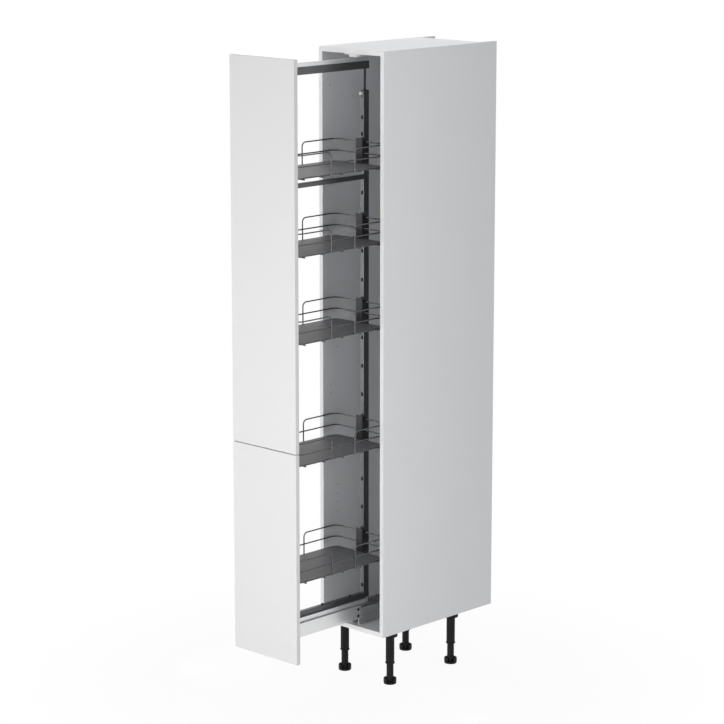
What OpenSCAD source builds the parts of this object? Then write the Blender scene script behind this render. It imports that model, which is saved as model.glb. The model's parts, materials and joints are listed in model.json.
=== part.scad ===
// Tall pull-out pantry: a cabinet on levelling legs, a two-part door that rides on a
// base runner, the post frame behind the door and five wire baskets hung in the frame.
// Every piece is drawn from the bottom centre of the cabinet's front edge, with x to the
// right, y into the cabinet and z up. seat() then puts the origin on the floor, under
// the middle of the unit with its frame pulled out.

/* [Cabinet] */
// Outside width of the cabinet
cabinet_w = 300; // [260:1:400]
// Depth of the side panels
cabinet_d = 560; // [520:1:620]
// Height of the cabinet above its legs
cabinet_h = 2000; // [1850:1:2300]
// Thickness of the side, top and bottom panels
panel_t = 16; // [14:0.5:19]
// Thickness of the back panel
back_t = 8; // [4:0.5:12]
// Space behind the back panel for pipes and cables
back_void = 70; // [40:1:90]
// Diameter of the two wall screw holes in the back panel
wall_hole_d = 6; // [4:0.5:8]
// Distance between the wall screw holes
wall_hole_spacing = 192; // [96:1:200]
// Wall screw holes below the top panel
wall_hole_drop = 60; // [30:1:120]

/* [Doors] */
// Thickness of the doors
door_t = 16; // [14:0.5:22]
// Each door edge inside the cabinet's side
door_inset = 1.5; // [0.5:0.5:4]
// Height of the lower door
lower_door_h = 715; // [650:1:760]
// Gap between the two doors
door_gap = 3; // [2:0.5:6]

/* [Pull-out] */
// How much less than the cabinet's depth the door pulls out
hold_back = 164; // [150:1:190]
// Gap left between door and cabinet when closed
close_gap = 2; // [1:0.5:5]
// Gap left behind the frame when closed
rear_gap = 10; // [5:1:20]

/* [Legs] */
// Height of the legs
leg_h = 190; // [160:1:220]
// Leg axis from the cabinet's side
leg_side = 41; // [35:1:60]
// Front leg axis behind the cabinet's front
leg_front = 79; // [50:1:110]
// Rear leg axis ahead of the cabinet's back edge
leg_rear = 168; // [120:1:200]
// Diameter of the leg sleeve
sleeve_d = 30; // [28:0.5:36]
// Height of the sleeve's lower end above the floor
sleeve_end = 73; // [60:1:85]
// Diameter of the sleeve's end lip
lip_d = 33; // [31:0.5:40]
// Height of the sleeve's end lip
lip_h = 5; // [3:0.5:8]
// Diameter of the flange under the cabinet
flange_d = 52; // [48:1:56]
// Thickness of the flange
flange_t = 5; // [3:0.5:8]
// Height of the rim round the flange
rim_h = 19; // [8:0.5:24]
// Wall of the rim round the flange
rim_wall = 2; // [1.5:0.25:2.25]
// Diameter of the foot's stem
stem_d = 25; // [22:0.5:26]
// Length of stem held inside the sleeve
stem_in = 75; // [50:1:80]
// How far the foot can be turned in
foot_lift = 20; // [10:1:24]
// Diameter of the foot
foot_d = 45; // [38:1:54]
// Thickness of the foot's sole
foot_t = 7; // [5:0.5:12]
// Height of the crown round the foot
crown_h = 20; // [14:1:26]
// Wall of the crown round the foot
crown_wall = 3.5; // [2.5:0.25:5]
// Angle of each of the two gaps in the crown
crown_gap = 60; // [30:1:80]

/* [Base runner] */
// Width of the fixed base rail
base_rail_w = 30; // [26:1:40]
// Height of the fixed base rail
base_rail_h = 62; // [56:1:70]
// Wall of the fixed base rail
base_wall = 2; // [1.5:0.25:3]
// Foot flange of the base rail on each side
base_flange = 12; // [11:0.5:16]
// Base rail behind the cabinet's front
base_front = 20; // [5:1:30]
// Base rail ahead of the back panel
base_rear = 8; // [4:1:20]
// Track between base rail and middle slide
inner_track = 4; // [3:0.25:6]
// Thickness of the middle slide's web
middle_t = 2.5; // [2:0.25:4]
// Height of the middle slide
middle_h = 30; // [24:1:34]
// Track between middle slide and carriage
outer_track = 5; // [4:0.25:7]
// Wall of the carriage and its channel
carriage_wall = 1.5; // [1:0.25:2.5]
// Height of the carriage sides
carriage_h = 47; // [44:1:50]
// Carriage top above the base rail
carriage_over = 9; // [6:0.5:12]
// Carriage end ahead of the frame's rear
carriage_short = 58; // [20:1:64]
// Width of the carrier channel
channel_w = 36; // [32:1:40]
// Height of the carrier channel
channel_h = 13; // [10:0.5:18]
// Diameter of the holes at the carriage's end
carriage_hole_d = 9; // [5:0.5:11]
// Shadow gap under the carrier channel
channel_gap = 3; // [2:0.5:5]
// Carrier channel end ahead of the frame's rear
channel_short = 16; // [5:1:20]
// Thickness of the plate that joins runner and door
front_plate_t = 3; // [2:0.5:5]

/* [Soft close] */
// Damper's front behind the cabinet's front
damper_y = 75; // [60:1:110]
// Length of the damper body
damper_l = 115; // [90:1:140]
// Width of the damper body
damper_w = 16; // [13:0.5:20]
// Height of the damper body
damper_h = 15; // [13:0.5:16]
// Length of plunger outside the body
plunger_out = 30; // [22:1:36]
// Diameter of the plunger rod
plunger_d = 6; // [4:0.5:7]
// Diameter of the plunger's tip
tip_d = 9; // [8:0.5:10]
// Length of the plunger's tip
tip_l = 6; // [4:0.5:8]

/* [Frame] */
// Short side of the posts and width of the rails
post_w = 16; // [14:0.5:20]
// Long side of the posts
post_d = 25; // [20:0.5:30]
// Wall of posts and rails
tube_wall = 1.5; // [1:0.25:2]
// Height of the bottom rail
bottom_rail_h = 17; // [14:0.5:22]
// Height of the mid rail
mid_rail_h = 15; // [12:0.5:18]
// Mid rail's top below the top basket's tray
mid_rail_drop = 39; // [35:1:60]
// Height of the top rail
top_rail_h = 26; // [20:0.5:30]
// Diameter of the telescopic rods
rod_d = 8; // [6:0.5:9]
// Length of rod that shows above the posts
rod_show = 74; // [70:1:110]
// Length of rod hidden in the posts
rod_in = 250; // [150:5:300]
// Width of the post slots
slot_w = 8; // [5:0.5:9]
// Height of the post slots
slot_h = 13; // [8:0.5:16]
// Distance between post slots
slot_pitch = 99; // [60:1:120]
// First regular slot above the post's foot
slot_first = 109; // [80:1:130]
// Single slot above the post's foot
foot_slot = 28; // [20:1:40]
// Single slot below the post's head
head_slot = 88; // [70:1:100]

/* [Top guide] */
// Guide rail's top below the cabinet's top panel
guide_drop = 15; // [13:0.5:24]
// Width of the guide rail
guide_w = 14; // [13:0.5:16]
// Height of the guide rail
guide_h = 12; // [11:0.5:16]
// Wall of the guide rail
guide_wall = 2; // [1.5:0.25:2.5]
// Roller axis behind the cabinet's front
roller_y = 19; // [17:1:40]
// Height of the guide roller
roller_h = 6; // [4:0.5:7]
// Diameter of the roller's axle
axle_d = 4; // [3:0.5:4.5]
// Width of the guide bracket
bracket_w = 70; // [60:1:90]
// Depth of the guide bracket
bracket_d = 30; // [24:1:34]

/* [Baskets] */
// Tray height of the lowest basket above the cabinet's underside
basket_1_z = 269; // [230:1:300]
// Tray height of the second basket above the cabinet's underside
basket_2_z = 667; // [600:1:720]
// Third basket below the fourth
basket_3_drop = 288; // [250:1:320]
// Fourth basket below the top basket
basket_4_drop = 254; // [240:1:300]
// Top basket's tray below the cabinet's top
basket_5_drop = 384; // [360:1:420]
// Diameter of the basket wires
wire_d = 4.5; // [3.5:0.25:5.5]
// Rim wire's axis inside the cabinet's side panel
basket_side = 12; // [4:0.5:20]
// Rim wire's axis from the post faces
basket_end = 4.5; // [4:0.25:7]
// Bend of the wires at the corners
corner_r = 25; // [15:1:45]
// Bend of the rim wires into their legs
leg_r = 15; // [10:1:25]
// Rim legs from the middle of the basket
leg_mid = 55; // [30:1:90]
// Middle wire above the tray
ring_lift = 35; // [25:1:45]
// Rim wire above the tray
rim_lift = 73; // [60:1:75]
// Distance between the cross wires
cross_pitch = 88; // [60:1:90]
// Height of the post clamps
clamp_h = 84; // [82:1:92]
// Wall of the post clamps
clamp_wall = 6.7; // [5:0.1:9]
// Clamp body in front of the post
clamp_ahead = 15; // [13:0.5:18]
// Clamp cheek along the rear post
clamp_grip = 18; // [12:0.5:22]

/* [Door brackets] */
// Thickness of the door brackets
lug_t = 2; // [1.5:0.25:3]
// Width of the door brackets on the door
lug_w = 32; // [24:1:40]
// Height of the door brackets
lug_h = 40; // [30:1:50]
// Lowest door brackets above the cabinet's underside
lug_low = 165; // [155:1:175]
// Highest door brackets below the posts' head
lug_high = 51; // [45:1:60]

/* [Fasteners] */
// Diameter of the panel screws
screw_d = 4; // [3:0.25:5]
// Length of the panel screws in the board
screw_in = 11; // [8:0.5:12]
// Diameter of the panel screw heads
screw_head_d = 8; // [6:0.25:9]
// Height of the panel screw heads
screw_head_h = 2.5; // [1.5:0.25:3]
// Diameter of the frame bolts
bolt_d = 5; // [4:0.25:6]
// Width of the frame bolts' hexagon heads
bolt_head_d = 9; // [8:0.25:11]
// Height of the frame bolts' heads
bolt_head_h = 4; // [3:0.25:6]
// Distance between the frame bolts
bolt_pitch = 136; // [100:1:150]
// Rearmost frame bolt ahead of the frame's rear
bolt_rear = 85; // [60:1:100]

/* [Fits] */
// Radial play of a pin or stem in its bore
running_fit = 0.05; // [0.02:0.01:0.1]
// Play between sliding pieces
slide_gap = 0.3; // [0.2:0.05:0.5]
// Play of a piece that is fixed in a hole or groove
seat_gap = 0.15; // [0.1:0.05:0.25]

/* [Hidden] */
$fn = 48;

white_board = [0.93, 0.93, 0.94];
inner_white = [0.88, 0.88, 0.88];
anthracite = [0.22, 0.22, 0.23];
tray_grey = [0.38, 0.38, 0.39];
black_plastic = [0.09, 0.09, 0.1];
white_plastic = [0.95, 0.95, 0.95];
zinc = [0.75, 0.76, 0.78];
silver = [0.84, 0.85, 0.87];

// Cuts reach this far past the faces that they open
past = 1;

// Cabinet
inner_half = cabinet_w / 2 - panel_t;
ceiling_z = cabinet_h - panel_t;
shelf_d = cabinet_d - back_void;
back_y = shelf_d - back_t;

// Pull-out positions, with the frame out
pull_out = cabinet_d - hold_back;
travel = pull_out - close_gap;
door_y = -pull_out;
frame_rear = back_y - rear_gap - travel;
middle_y = (cabinet_d - pull_out - door_t) / 2;
door_half = cabinet_w / 2 - door_inset;
upper_door_z = lower_door_h + door_gap;

// Base runner
base_half = base_rail_w / 2;
base_top = panel_t + base_rail_h;
base_end = back_y - base_rear;
middle_in = base_half + inner_track;
middle_out = middle_in + middle_t;
carriage_in = middle_out + outer_track;
carriage_half = carriage_in + carriage_wall;
carriage_top = base_top + carriage_over;
carriage_foot = carriage_top - carriage_h;
carriage_rear = frame_rear - carriage_short;
channel_rear = frame_rear - channel_short;
channel_half = channel_w / 2;
channel_step = 5;
channel_bore = channel_half - channel_step - carriage_wall;
channel_base = carriage_top + channel_gap;
channel_top = channel_base + channel_h;
runner_y = door_y + front_plate_t;
middle_inset = 7;
middle_lift = 6;
middle_lip = 2;
middle_lip_play = 1;
carriage_hole_inset = 15;
middle_front = base_front + middle_inset - travel / 2;
middle_rear = base_end - middle_inset - travel / 2;
middle_foot = carriage_foot + middle_lift;
middle_lip_w = outer_track - middle_lip_play;

// Ball cages
cage_l = 140;
cage_h = 20;
cage_t = 1;
cage_inset = 20;
ball_pitch = 28;
ball_rows = 12;

// Base rail screws
base_screw_edge = 1;
base_screw_inset = 30;
base_screw_x = base_half + base_flange - screw_head_d / 2 - base_screw_edge;
base_screw_step = (base_end - base_front) / 2 - base_screw_inset;
base_screw_y = [for (i = [0 : 2]) base_front + base_screw_inset + i * base_screw_step];

// Front plate and its screws
plate_side = 14;
plate_drop = 6;
plate_lip = 1;
plate_screw_inset = 12;
plate_half = carriage_half + plate_side;
plate_foot = carriage_foot - plate_drop;
plate_top = channel_top + bottom_rail_h - plate_lip;
plate_screw_x = carriage_half + plate_side / 2;
plate_screw_z = [plate_foot + plate_screw_inset, plate_top - plate_screw_inset];

// Soft-close damper
damper_z = base_top + damper_h / 2;
tip_y = damper_y - plunger_out;
striker_l = 16;
striker_lift = 3;
striker_y = tip_y - slide_gap - travel;
striker_foot = base_top + striker_lift;

// Frame
post_foot = channel_top + bottom_rail_h;
guide_top = ceiling_z - guide_drop;
top_rail_z = guide_top - guide_h - top_rail_h;
post_head = top_rail_z - rod_show;
post_l = post_head - post_foot;
front_post_half = post_d / 2;
rear_post_half = post_w / 2;
front_post_face = door_y + post_w;
rear_post_face = frame_rear - post_d;
rear_rod_y = frame_rear - post_d / 2;
front_rod_y = door_y + post_w / 2;
top_rail_gap = 2;
cap_t = 3;
cap_lip = 0.8;
top_rail_front = door_y + top_rail_gap + cap_t;
top_rail_rear = frame_rear - cap_t;
regular_slots = floor((post_l - slot_first - head_slot - slot_h) / slot_pitch) + 1;
slot_list = concat([foot_slot, post_l - head_slot],
                   [for (i = [0 : regular_slots - 1]) slot_first + i * slot_pitch]);
bolt_ys = [for (i = [0 : 2]) frame_rear - bolt_rear - i * bolt_pitch];
bolt_tail = 3;

// Plugs in the posts' heads and their clamping screws
plug_in = 30;
plug_lid = 2.5;
clamp_screw_drop = 8;
pin_hole_drop = 10;
clamp_screw_head = 10;
clamp_screw_head_l = 11;

// Baskets
basket_5_z = cabinet_h - basket_5_drop;
basket_4_z = basket_5_z - basket_4_drop;
basket_3_z = basket_4_z - basket_3_drop;
basket_zs = [basket_1_z, basket_2_z, basket_3_z, basket_4_z, basket_5_z];
wire_r = wire_d / 2;
weld_sink = 0.5;
wire_step = wire_d - weld_sink;
rim_half = inner_half - basket_side;
ring_half = rim_half - wire_step;
rim_front = front_post_face + basket_end;
rim_rear = rear_post_face - basket_end;
basket_mid = (rim_front + rim_rear) / 2;
rim_reach = (rim_rear - rim_front) / 2;
ring_reach = rim_reach - wire_step;
ring_r = corner_r;
rim_r = corner_r + wire_step;
tray_fit = 0.4;
tray_edge = wire_r + tray_fit;
tray_t = wire_step;
cross_side = floor((ring_reach - ring_r) / cross_pitch);
cross_over = 4;
clamp_lift = 1;
grip_short = 3;
front_grip = post_w - grip_short;

// Door brackets: a pair near the foot, one between each two baskets up to the fourth and one near the head
lug_zs = concat([lug_low],
                [for (i = [0 : 2]) (basket_zs[i] + clamp_h + basket_zs[i + 1]) / 2],
                [post_head - lug_high]);
lug_short = 2;
lug_screw_edge = 4;
lug_leg = post_w - lug_short;
lug_screw_x = front_post_half + lug_w - screw_head_d / 2 - lug_screw_edge;
lug_screw_z = lug_h / 4;
door_screws_at = concat(
  [for (z = lug_zs, s = [-1, 1], t = [-1, 1]) [s * lug_screw_x, z + t * lug_screw_z, lug_t]],
  [for (z = plate_screw_z, s = [-1, 1]) [s * plate_screw_x, z, front_plate_t]]);

// Legs
leg_x = cabinet_w / 2 - leg_side;
leg_ys = [leg_front, cabinet_d - leg_rear];
leg_screw_edge = 0.4;
leg_screw_r = flange_d / 2 - rim_wall - screw_head_d / 2 - leg_screw_edge;
crown_turn = -45;
leg_bore_r = stem_d / 2 + running_fit;
stem_top = sleeve_end + stem_in;
leg_bore_top = stem_top + foot_lift + past;

// Top guide
guide_half = guide_w / 2;
guide_bore = guide_half - guide_wall;
guide_floor = guide_top - guide_h + guide_wall;
guide_groove = 0.7;
guide_groove_low = 5;
guide_groove_h = 3;
roller_lift = 2;
roller_r = guide_bore - 2 * slide_gap;
roller_z = guide_floor + roller_lift;
axle_head = 0.8;
axle_head_lip = 1.5;
boss_step = 0.3;
boss_r = roller_r - boss_step;
bracket_lift = 3;
bracket_foot = guide_top + bracket_lift;
bracket_rib = 4;
guide_screw_inset = 10;
guide_screw_x = bracket_w / 2 - guide_screw_inset;

// Puts the origin on the floor under the middle of the pulled-out unit
module seat() {
  translate([0, -middle_y, leg_h]) children();
}

// Draws the children on the left and on the right
module both_sides() {
  children();
  mirror([1, 0, 0]) children();
}

// Box from its lowest to its highest corner
module span(low, high) {
  translate(low) cube(high - low);
}

// Cylinder along y from y0 to y1
module rod_y(x, z, y0, y1, d) {
  translate([x, y0, z]) rotate([-90, 0, 0]) cylinder(h = y1 - y0, d = d);
}

// Profile in x and z drawn along y from y0 to y1
module profile(y0, y1) {
  translate([0, y1, 0]) rotate([90, 0, 0]) linear_extrude(height = y1 - y0) children();
}

// Panel screw along z, its head under the surface at z = 0 and its shank upwards
module panel_screw() {
  translate([0, 0, -screw_head_h]) cylinder(h = screw_head_h, d = screw_head_d);
  cylinder(h = screw_in, d = screw_d);
}

// Hole for a panel screw, from below the surface at z = 0
module screw_hole(depth) {
  translate([0, 0, -past]) cylinder(h = depth + past, d = screw_d + 2 * seat_gap);
}

// Cabinet panels
module side_panel(side) {
  color(white_board) seat()
    translate([side > 0 ? inner_half : -cabinet_w / 2, 0, 0])
      cube([panel_t, cabinet_d, cabinet_h]);
}

module top_panel() {
  color(white_board) seat()
    difference() {
      span([-inner_half, 0, ceiling_z], [inner_half, shelf_d, cabinet_h]);
      for (x = [-guide_screw_x, guide_screw_x])
        translate([x, roller_y, ceiling_z]) screw_hole(screw_in + seat_gap);
    }
}

module bottom_panel() {
  color(white_board) seat()
    difference() {
      span([-inner_half, 0, 0], [inner_half, shelf_d, panel_t]);
      leg_screw_places() screw_hole(screw_in + seat_gap);
      for (s = [-1, 1], y = base_screw_y)
        translate([s * base_screw_x, y, panel_t]) mirror([0, 0, 1]) screw_hole(screw_in);
    }
}

module back_panel() {
  color(inner_white) seat()
    difference() {
      span([-inner_half, back_y, panel_t], [inner_half, shelf_d, ceiling_z]);
      for (s = [-1, 1])
        rod_y(s * wall_hole_spacing / 2, ceiling_z - wall_hole_drop,
              back_y - past, shelf_d + past, wall_hole_d);
    }
}

// Places four screws round each of the four legs
module leg_screw_places() {
  for (s = [-1, 1], y = leg_ys, a = [45 : 90 : 315])
    translate([s * leg_x, y, 0]) rotate([0, 0, a]) translate([leg_screw_r, 0, 0]) children();
}

// Upright ring from z = 0
module ring(h, d, wall) {
  difference() {
    cylinder(h = h, d = d);
    translate([0, 0, -past]) cylinder(h = h + 2 * past, d = d - 2 * wall);
  }
}

// Sleeve of one leg with its rimmed flange, side and row choosing the corner
module leg_sleeve(side, row) {
  color(black_plastic) seat()
    translate([side * leg_x, leg_ys[row], -leg_h])
      difference() {
        union() {
          translate([0, 0, sleeve_end]) cylinder(h = leg_h - sleeve_end, d = sleeve_d);
          translate([0, 0, sleeve_end]) cylinder(h = lip_h, d = lip_d);
          translate([0, 0, leg_h - flange_t]) cylinder(h = flange_t, d = flange_d);
          translate([0, 0, leg_h - rim_h]) ring(rim_h, flange_d, rim_wall);
        }
        translate([0, 0, sleeve_end - past]) cylinder(h = leg_bore_top - sleeve_end + past, r = leg_bore_r);
        for (a = [45 : 90 : 315])
          rotate([0, 0, a]) translate([leg_screw_r, 0, leg_h - flange_t]) screw_hole(flange_t + past);
      }
}

// Levelling foot of one leg: sole, stem and a crown with two gaps to turn it by
module foot(side, row) {
  edge = foot_d * [1, tan(crown_gap / 2)];
  color(black_plastic) seat()
    translate([side * leg_x, leg_ys[row], -leg_h])
      union() {
        difference() {
          ring(crown_h, foot_d, crown_wall);
          for (a = [crown_turn, crown_turn + 180])
            rotate([0, 0, a])
              translate([0, 0, foot_t])
                linear_extrude(height = crown_h)
                  polygon([[0, 0], [edge.x, -edge.y], edge]);
        }
        cylinder(h = foot_t, d = foot_d);
        cylinder(h = stem_top, d = stem_d);
      }
}

module leg_screws() {
  color(zinc) seat()
    leg_screw_places() translate([0, 0, -flange_t]) {
      translate([0, 0, -screw_head_h]) cylinder(h = screw_head_h, d = screw_head_d);
      cylinder(h = flange_t + screw_in, d = screw_d);
    }
}

// Fixed base rail: a hat section with its flanges on the cabinet's floor
module base_rail() {
  color(zinc) seat()
    difference() {
      profile(base_front, base_end)
        polygon([
          [-base_half - base_flange, panel_t], [-base_half - base_flange, panel_t + base_wall],
          [-base_half, panel_t + base_wall], [-base_half, base_top],
          [base_half, base_top], [base_half, panel_t + base_wall],
          [base_half + base_flange, panel_t + base_wall], [base_half + base_flange, panel_t],
          [base_half - base_wall, panel_t], [base_half - base_wall, base_top - base_wall],
          [-base_half + base_wall, base_top - base_wall], [-base_half + base_wall, panel_t]
        ]);
      for (s = [-1, 1], y = base_screw_y)
        translate([s * base_screw_x, y, panel_t]) screw_hole(base_wall + past);
    }
}

module base_rail_screws() {
  color(zinc) seat()
    for (s = [-1, 1], y = base_screw_y)
      translate([s * base_screw_x, y, panel_t + base_wall]) mirror([0, 0, 1]) panel_screw();
}

// Middle slide: a shallow channel between the base rail and the carriage
module middle_slide(side) {
  color(zinc) seat()
    mirror([side < 0 ? 1 : 0, 0, 0])
      profile(middle_front, middle_rear)
        polygon([
          [middle_in, middle_foot], [middle_out + middle_lip_w, middle_foot],
          [middle_out + middle_lip_w, middle_foot + middle_lip], [middle_out, middle_foot + middle_lip],
          [middle_out, middle_foot + middle_h - middle_lip],
          [middle_out + middle_lip_w, middle_foot + middle_h - middle_lip],
          [middle_out + middle_lip_w, middle_foot + middle_h], [middle_in, middle_foot + middle_h]
        ]);
}

// Ball cage: a strip on edge with two rows of balls, x0 to x1 being its track
module ball_cage(x0, x1, y0) {
  x = (x0 + x1) / 2;
  z = middle_foot + middle_h / 2;
  ball_r = (x1 - x0) / 2 - slide_gap;
  span([x - cage_t / 2, y0, z - cage_h / 2], [x + cage_t / 2, y0 + cage_l, z + cage_h / 2]);
  for (y = [ball_pitch / 2 : ball_pitch : cage_l], s = [-1, 1])
    translate([x, y0 + y, z + s * ball_rows / 2]) sphere(r = ball_r);
}

module inner_ball_cages() {
  color(zinc) seat() both_sides() ball_cage(base_half, middle_in, base_front + cage_inset);
}

module outer_ball_cages() {
  color(zinc) seat() both_sides() ball_cage(middle_out, carriage_in, middle_front + cage_inset);
}

// Carriage: two tall sides with their top plates, tied together behind the door
module runner_carriage() {
  color(silver) seat()
    difference() {
      profile(runner_y, carriage_rear)
        polygon([
          [-carriage_half, carriage_foot], [-carriage_half, carriage_top],
          [carriage_half, carriage_top], [carriage_half, carriage_foot],
          [carriage_in, carriage_foot], [carriage_in, carriage_top - carriage_wall],
          [-carriage_in, carriage_top - carriage_wall], [-carriage_in, carriage_foot]
        ]);
      span([-channel_bore, striker_y - striker_l - seat_gap, carriage_top - carriage_wall - past],
           [channel_bore, carriage_rear + past, carriage_top + past]);
      // Two holes in each side at the rear end
      for (z = [carriage_foot + carriage_h / 4, carriage_foot + carriage_h * 3 / 4])
        translate([0, carriage_rear - carriage_hole_inset, z]) rotate([0, 90, 0])
          cylinder(h = 2 * carriage_half + 2 * past, d = carriage_hole_d, center = true);
    }
}

// Carrier channel on the carriage, its foot stepped in to leave a shadow gap
module carrier_channel() {
  step_half = channel_half - channel_step;
  color(silver) seat()
    difference() {
      profile(runner_y, channel_rear)
        polygon([
          [-step_half, carriage_top], [-step_half, channel_base],
          [-channel_half, channel_base], [-channel_half, channel_top],
          [channel_half, channel_top], [channel_half, channel_base],
          [step_half, channel_base], [step_half, carriage_top],
          [channel_bore, carriage_top], [channel_bore, channel_top - carriage_wall],
          [-channel_bore, channel_top - carriage_wall], [-channel_bore, carriage_top]
        ]);
      for (y = bolt_ys)
        translate([0, y, channel_top - carriage_wall - past])
          cylinder(h = carriage_wall + 2 * past, d = bolt_d + 2 * seat_gap);
    }
}

// Plate that screws the runner to the lower door
module front_plate() {
  color(zinc) seat()
    difference() {
      span([-plate_half, door_y, plate_foot], [plate_half, runner_y, plate_top]);
      for (z = plate_screw_z, s = [-1, 1])
        rod_y(s * plate_screw_x, z, door_y - past, runner_y + past, screw_d + 2 * seat_gap);
    }
}

// Soft-close damper on the base rail
module damper_body() {
  color(black_plastic) seat()
    difference() {
      span([-damper_w / 2, damper_y, base_top], [damper_w / 2, damper_y + damper_l, base_top + damper_h]);
      rod_y(0, damper_z, damper_y - past, damper_y + 2 * plunger_out + past, plunger_d + 2 * running_fit);
    }
}

module damper_plunger() {
  color(zinc) seat()
    union() {
      rod_y(0, damper_z, tip_y, tip_y + tip_l, tip_d);
      rod_y(0, damper_z, tip_y, damper_y + plunger_out, plunger_d);
    }
}

// Block in the carrier channel that meets the plunger when the frame closes
module damper_striker() {
  color(black_plastic) seat()
    span([-channel_bore + seat_gap, striker_y - striker_l, striker_foot],
         [channel_bore - seat_gap, striker_y, channel_top - carriage_wall]);
}

// Doors
module door_leaf(z0, z1) {
  color(white_board) seat()
    difference() {
      span([-door_half, door_y - door_t, z0], [door_half, door_y, z1]);
      for (p = door_screws_at)
        if (p[1] > z0 && p[1] < z1)
          rod_y(p[0], p[1], door_y - screw_in - seat_gap, door_y + past, screw_d + 2 * seat_gap);
    }
}

// Pairs of angle brackets between the front post and the doors
module door_brackets() {
  color(zinc) seat() both_sides()
    for (z = lug_zs)
      difference() {
        translate([0, 0, z - lug_h / 2])
          linear_extrude(height = lug_h)
            polygon([
              [front_post_half, door_y], [front_post_half + lug_w, door_y],
              [front_post_half + lug_w, door_y + lug_t], [front_post_half + lug_t, door_y + lug_t],
              [front_post_half + lug_t, door_y + lug_leg], [front_post_half, door_y + lug_leg]
            ]);
        for (t = [-1, 1])
          rod_y(lug_screw_x, z + t * lug_screw_z,
                door_y - past, door_y + lug_t + past, screw_d + 2 * seat_gap);
      }
}

module door_screws() {
  color(zinc) seat()
    for (p = door_screws_at) {
      rod_y(p[0], p[1], door_y + p[2], door_y + p[2] + screw_head_h, screw_head_d);
      rod_y(p[0], p[1], door_y - screw_in, door_y + p[2], screw_d);
    }
}

// Bottom rail of the frame, a tube on the carrier channel
module bottom_rail() {
  color(anthracite) seat()
    difference() {
      span([-post_w / 2, runner_y, channel_top], [post_w / 2, frame_rear, post_foot]);
      span([-post_w / 2 + tube_wall, runner_y - past, channel_top + tube_wall],
           [post_w / 2 - tube_wall, frame_rear + past, post_foot - tube_wall]);
      for (y = bolt_ys)
        translate([0, y, channel_top - past])
          cylinder(h = bottom_rail_h + 2 * past, d = bolt_d + 2 * seat_gap);
    }
}

module frame_bolts() {
  color(black_plastic) seat()
    for (y = bolt_ys) {
      translate([0, y, post_foot]) cylinder(h = bolt_head_h, d = bolt_head_d, $fn = 6);
      translate([0, y, channel_top - carriage_wall - bolt_tail])
        cylinder(h = bottom_rail_h + carriage_wall + bolt_tail, d = bolt_d);
    }
}

// Post tube standing on the bottom rail, slotted in the face that looks at the baskets
module post(half, y0, y1, slot_face) {
  color(anthracite) seat()
    difference() {
      span([-half, y0, post_foot], [half, y1, post_head]);
      span([-half + tube_wall, y0 + tube_wall, post_foot - past],
           [half - tube_wall, y1 - tube_wall, post_head + past]);
      for (z = slot_list)
        translate([0, slot_face, post_foot + z]) cube([slot_w, 4 * tube_wall, slot_h], center = true);
      // Hole for the clamping screw and the pin hole below it
      for (drop = [clamp_screw_drop, clamp_screw_drop + pin_hole_drop])
        rod_y(0, post_head - drop, slot_face - 2 * tube_wall, slot_face + 2 * tube_wall,
              bolt_d + 2 * seat_gap);
    }
}

// Rail between the posts, under the top basket
module mid_rail() {
  top = basket_5_z - mid_rail_drop;
  color(anthracite) seat()
    difference() {
      span([-post_w / 2, front_post_face, top - mid_rail_h], [post_w / 2, rear_post_face, top]);
      span([-post_w / 2 + tube_wall, front_post_face - past, top - mid_rail_h + tube_wall],
           [post_w / 2 - tube_wall, rear_post_face + past, top - tube_wall]);
    }
}

// Plug in a post's head that guides its rod, with y0 to y1 the post's depth
module post_plug(half, y0, y1, rod_y0, screw_side) {
  inset = tube_wall + seat_gap;
  screw_from = screw_side < 0 ? y0 - past : rod_y0;
  screw_to = screw_side < 0 ? rod_y0 : y1 + past;
  difference() {
    union() {
      span([-half + inset, y0 + inset, post_head - plug_in], [half - inset, y1 - inset, post_head]);
      span([-half, y0, post_head], [half, y1, post_head + plug_lid]);
    }
    translate([0, rod_y0, post_head - plug_in - past])
      cylinder(h = plug_in + plug_lid + 2 * past, r = rod_d / 2 + running_fit);
    rod_y(0, post_head - clamp_screw_drop, screw_from, screw_to, bolt_d + 2 * seat_gap);
  }
}

module post_plugs() {
  color(black_plastic) seat() {
    post_plug(front_post_half, door_y, front_post_face, front_rod_y, 1);
    post_plug(rear_post_half, rear_post_face, frame_rear, rear_rod_y, -1);
  }
}

// Clamping screws for the rods, each with its head towards the baskets
module clamp_screws() {
  z = post_head - clamp_screw_drop;
  tip = rod_d / 2 + slide_gap;
  color(white_plastic) seat() {
    rod_y(0, z, front_post_face, front_post_face + clamp_screw_head_l, clamp_screw_head);
    rod_y(0, z, front_rod_y + tip, front_post_face, bolt_d);
    rod_y(0, z, rear_post_face - clamp_screw_head_l, rear_post_face, clamp_screw_head);
    rod_y(0, z, rear_post_face, rear_rod_y - tip, bolt_d);
  }
}

// Top rail, a tube carried by the telescopic rods
module top_rail() {
  color(anthracite) seat()
    difference() {
      span([-post_w / 2, top_rail_front, top_rail_z], [post_w / 2, top_rail_rear, top_rail_z + top_rail_h]);
      span([-post_w / 2 + tube_wall, top_rail_front - past, top_rail_z + tube_wall],
           [post_w / 2 - tube_wall, top_rail_rear + past, top_rail_z + top_rail_h - tube_wall]);
    }
}

module top_rail_caps() {
  color(black_plastic) seat()
    for (y = [top_rail_front - cap_t, top_rail_rear])
      span([-post_w / 2 - cap_lip, y, top_rail_z],
           [post_w / 2 + cap_lip, y + cap_t, top_rail_z + top_rail_h]);
}

module telescopic_rods() {
  color(black_plastic) seat()
    for (y = [front_rod_y, rear_rod_y])
      translate([0, y, post_head - rod_in]) cylinder(h = rod_in + rod_show, d = rod_d);
}

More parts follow.
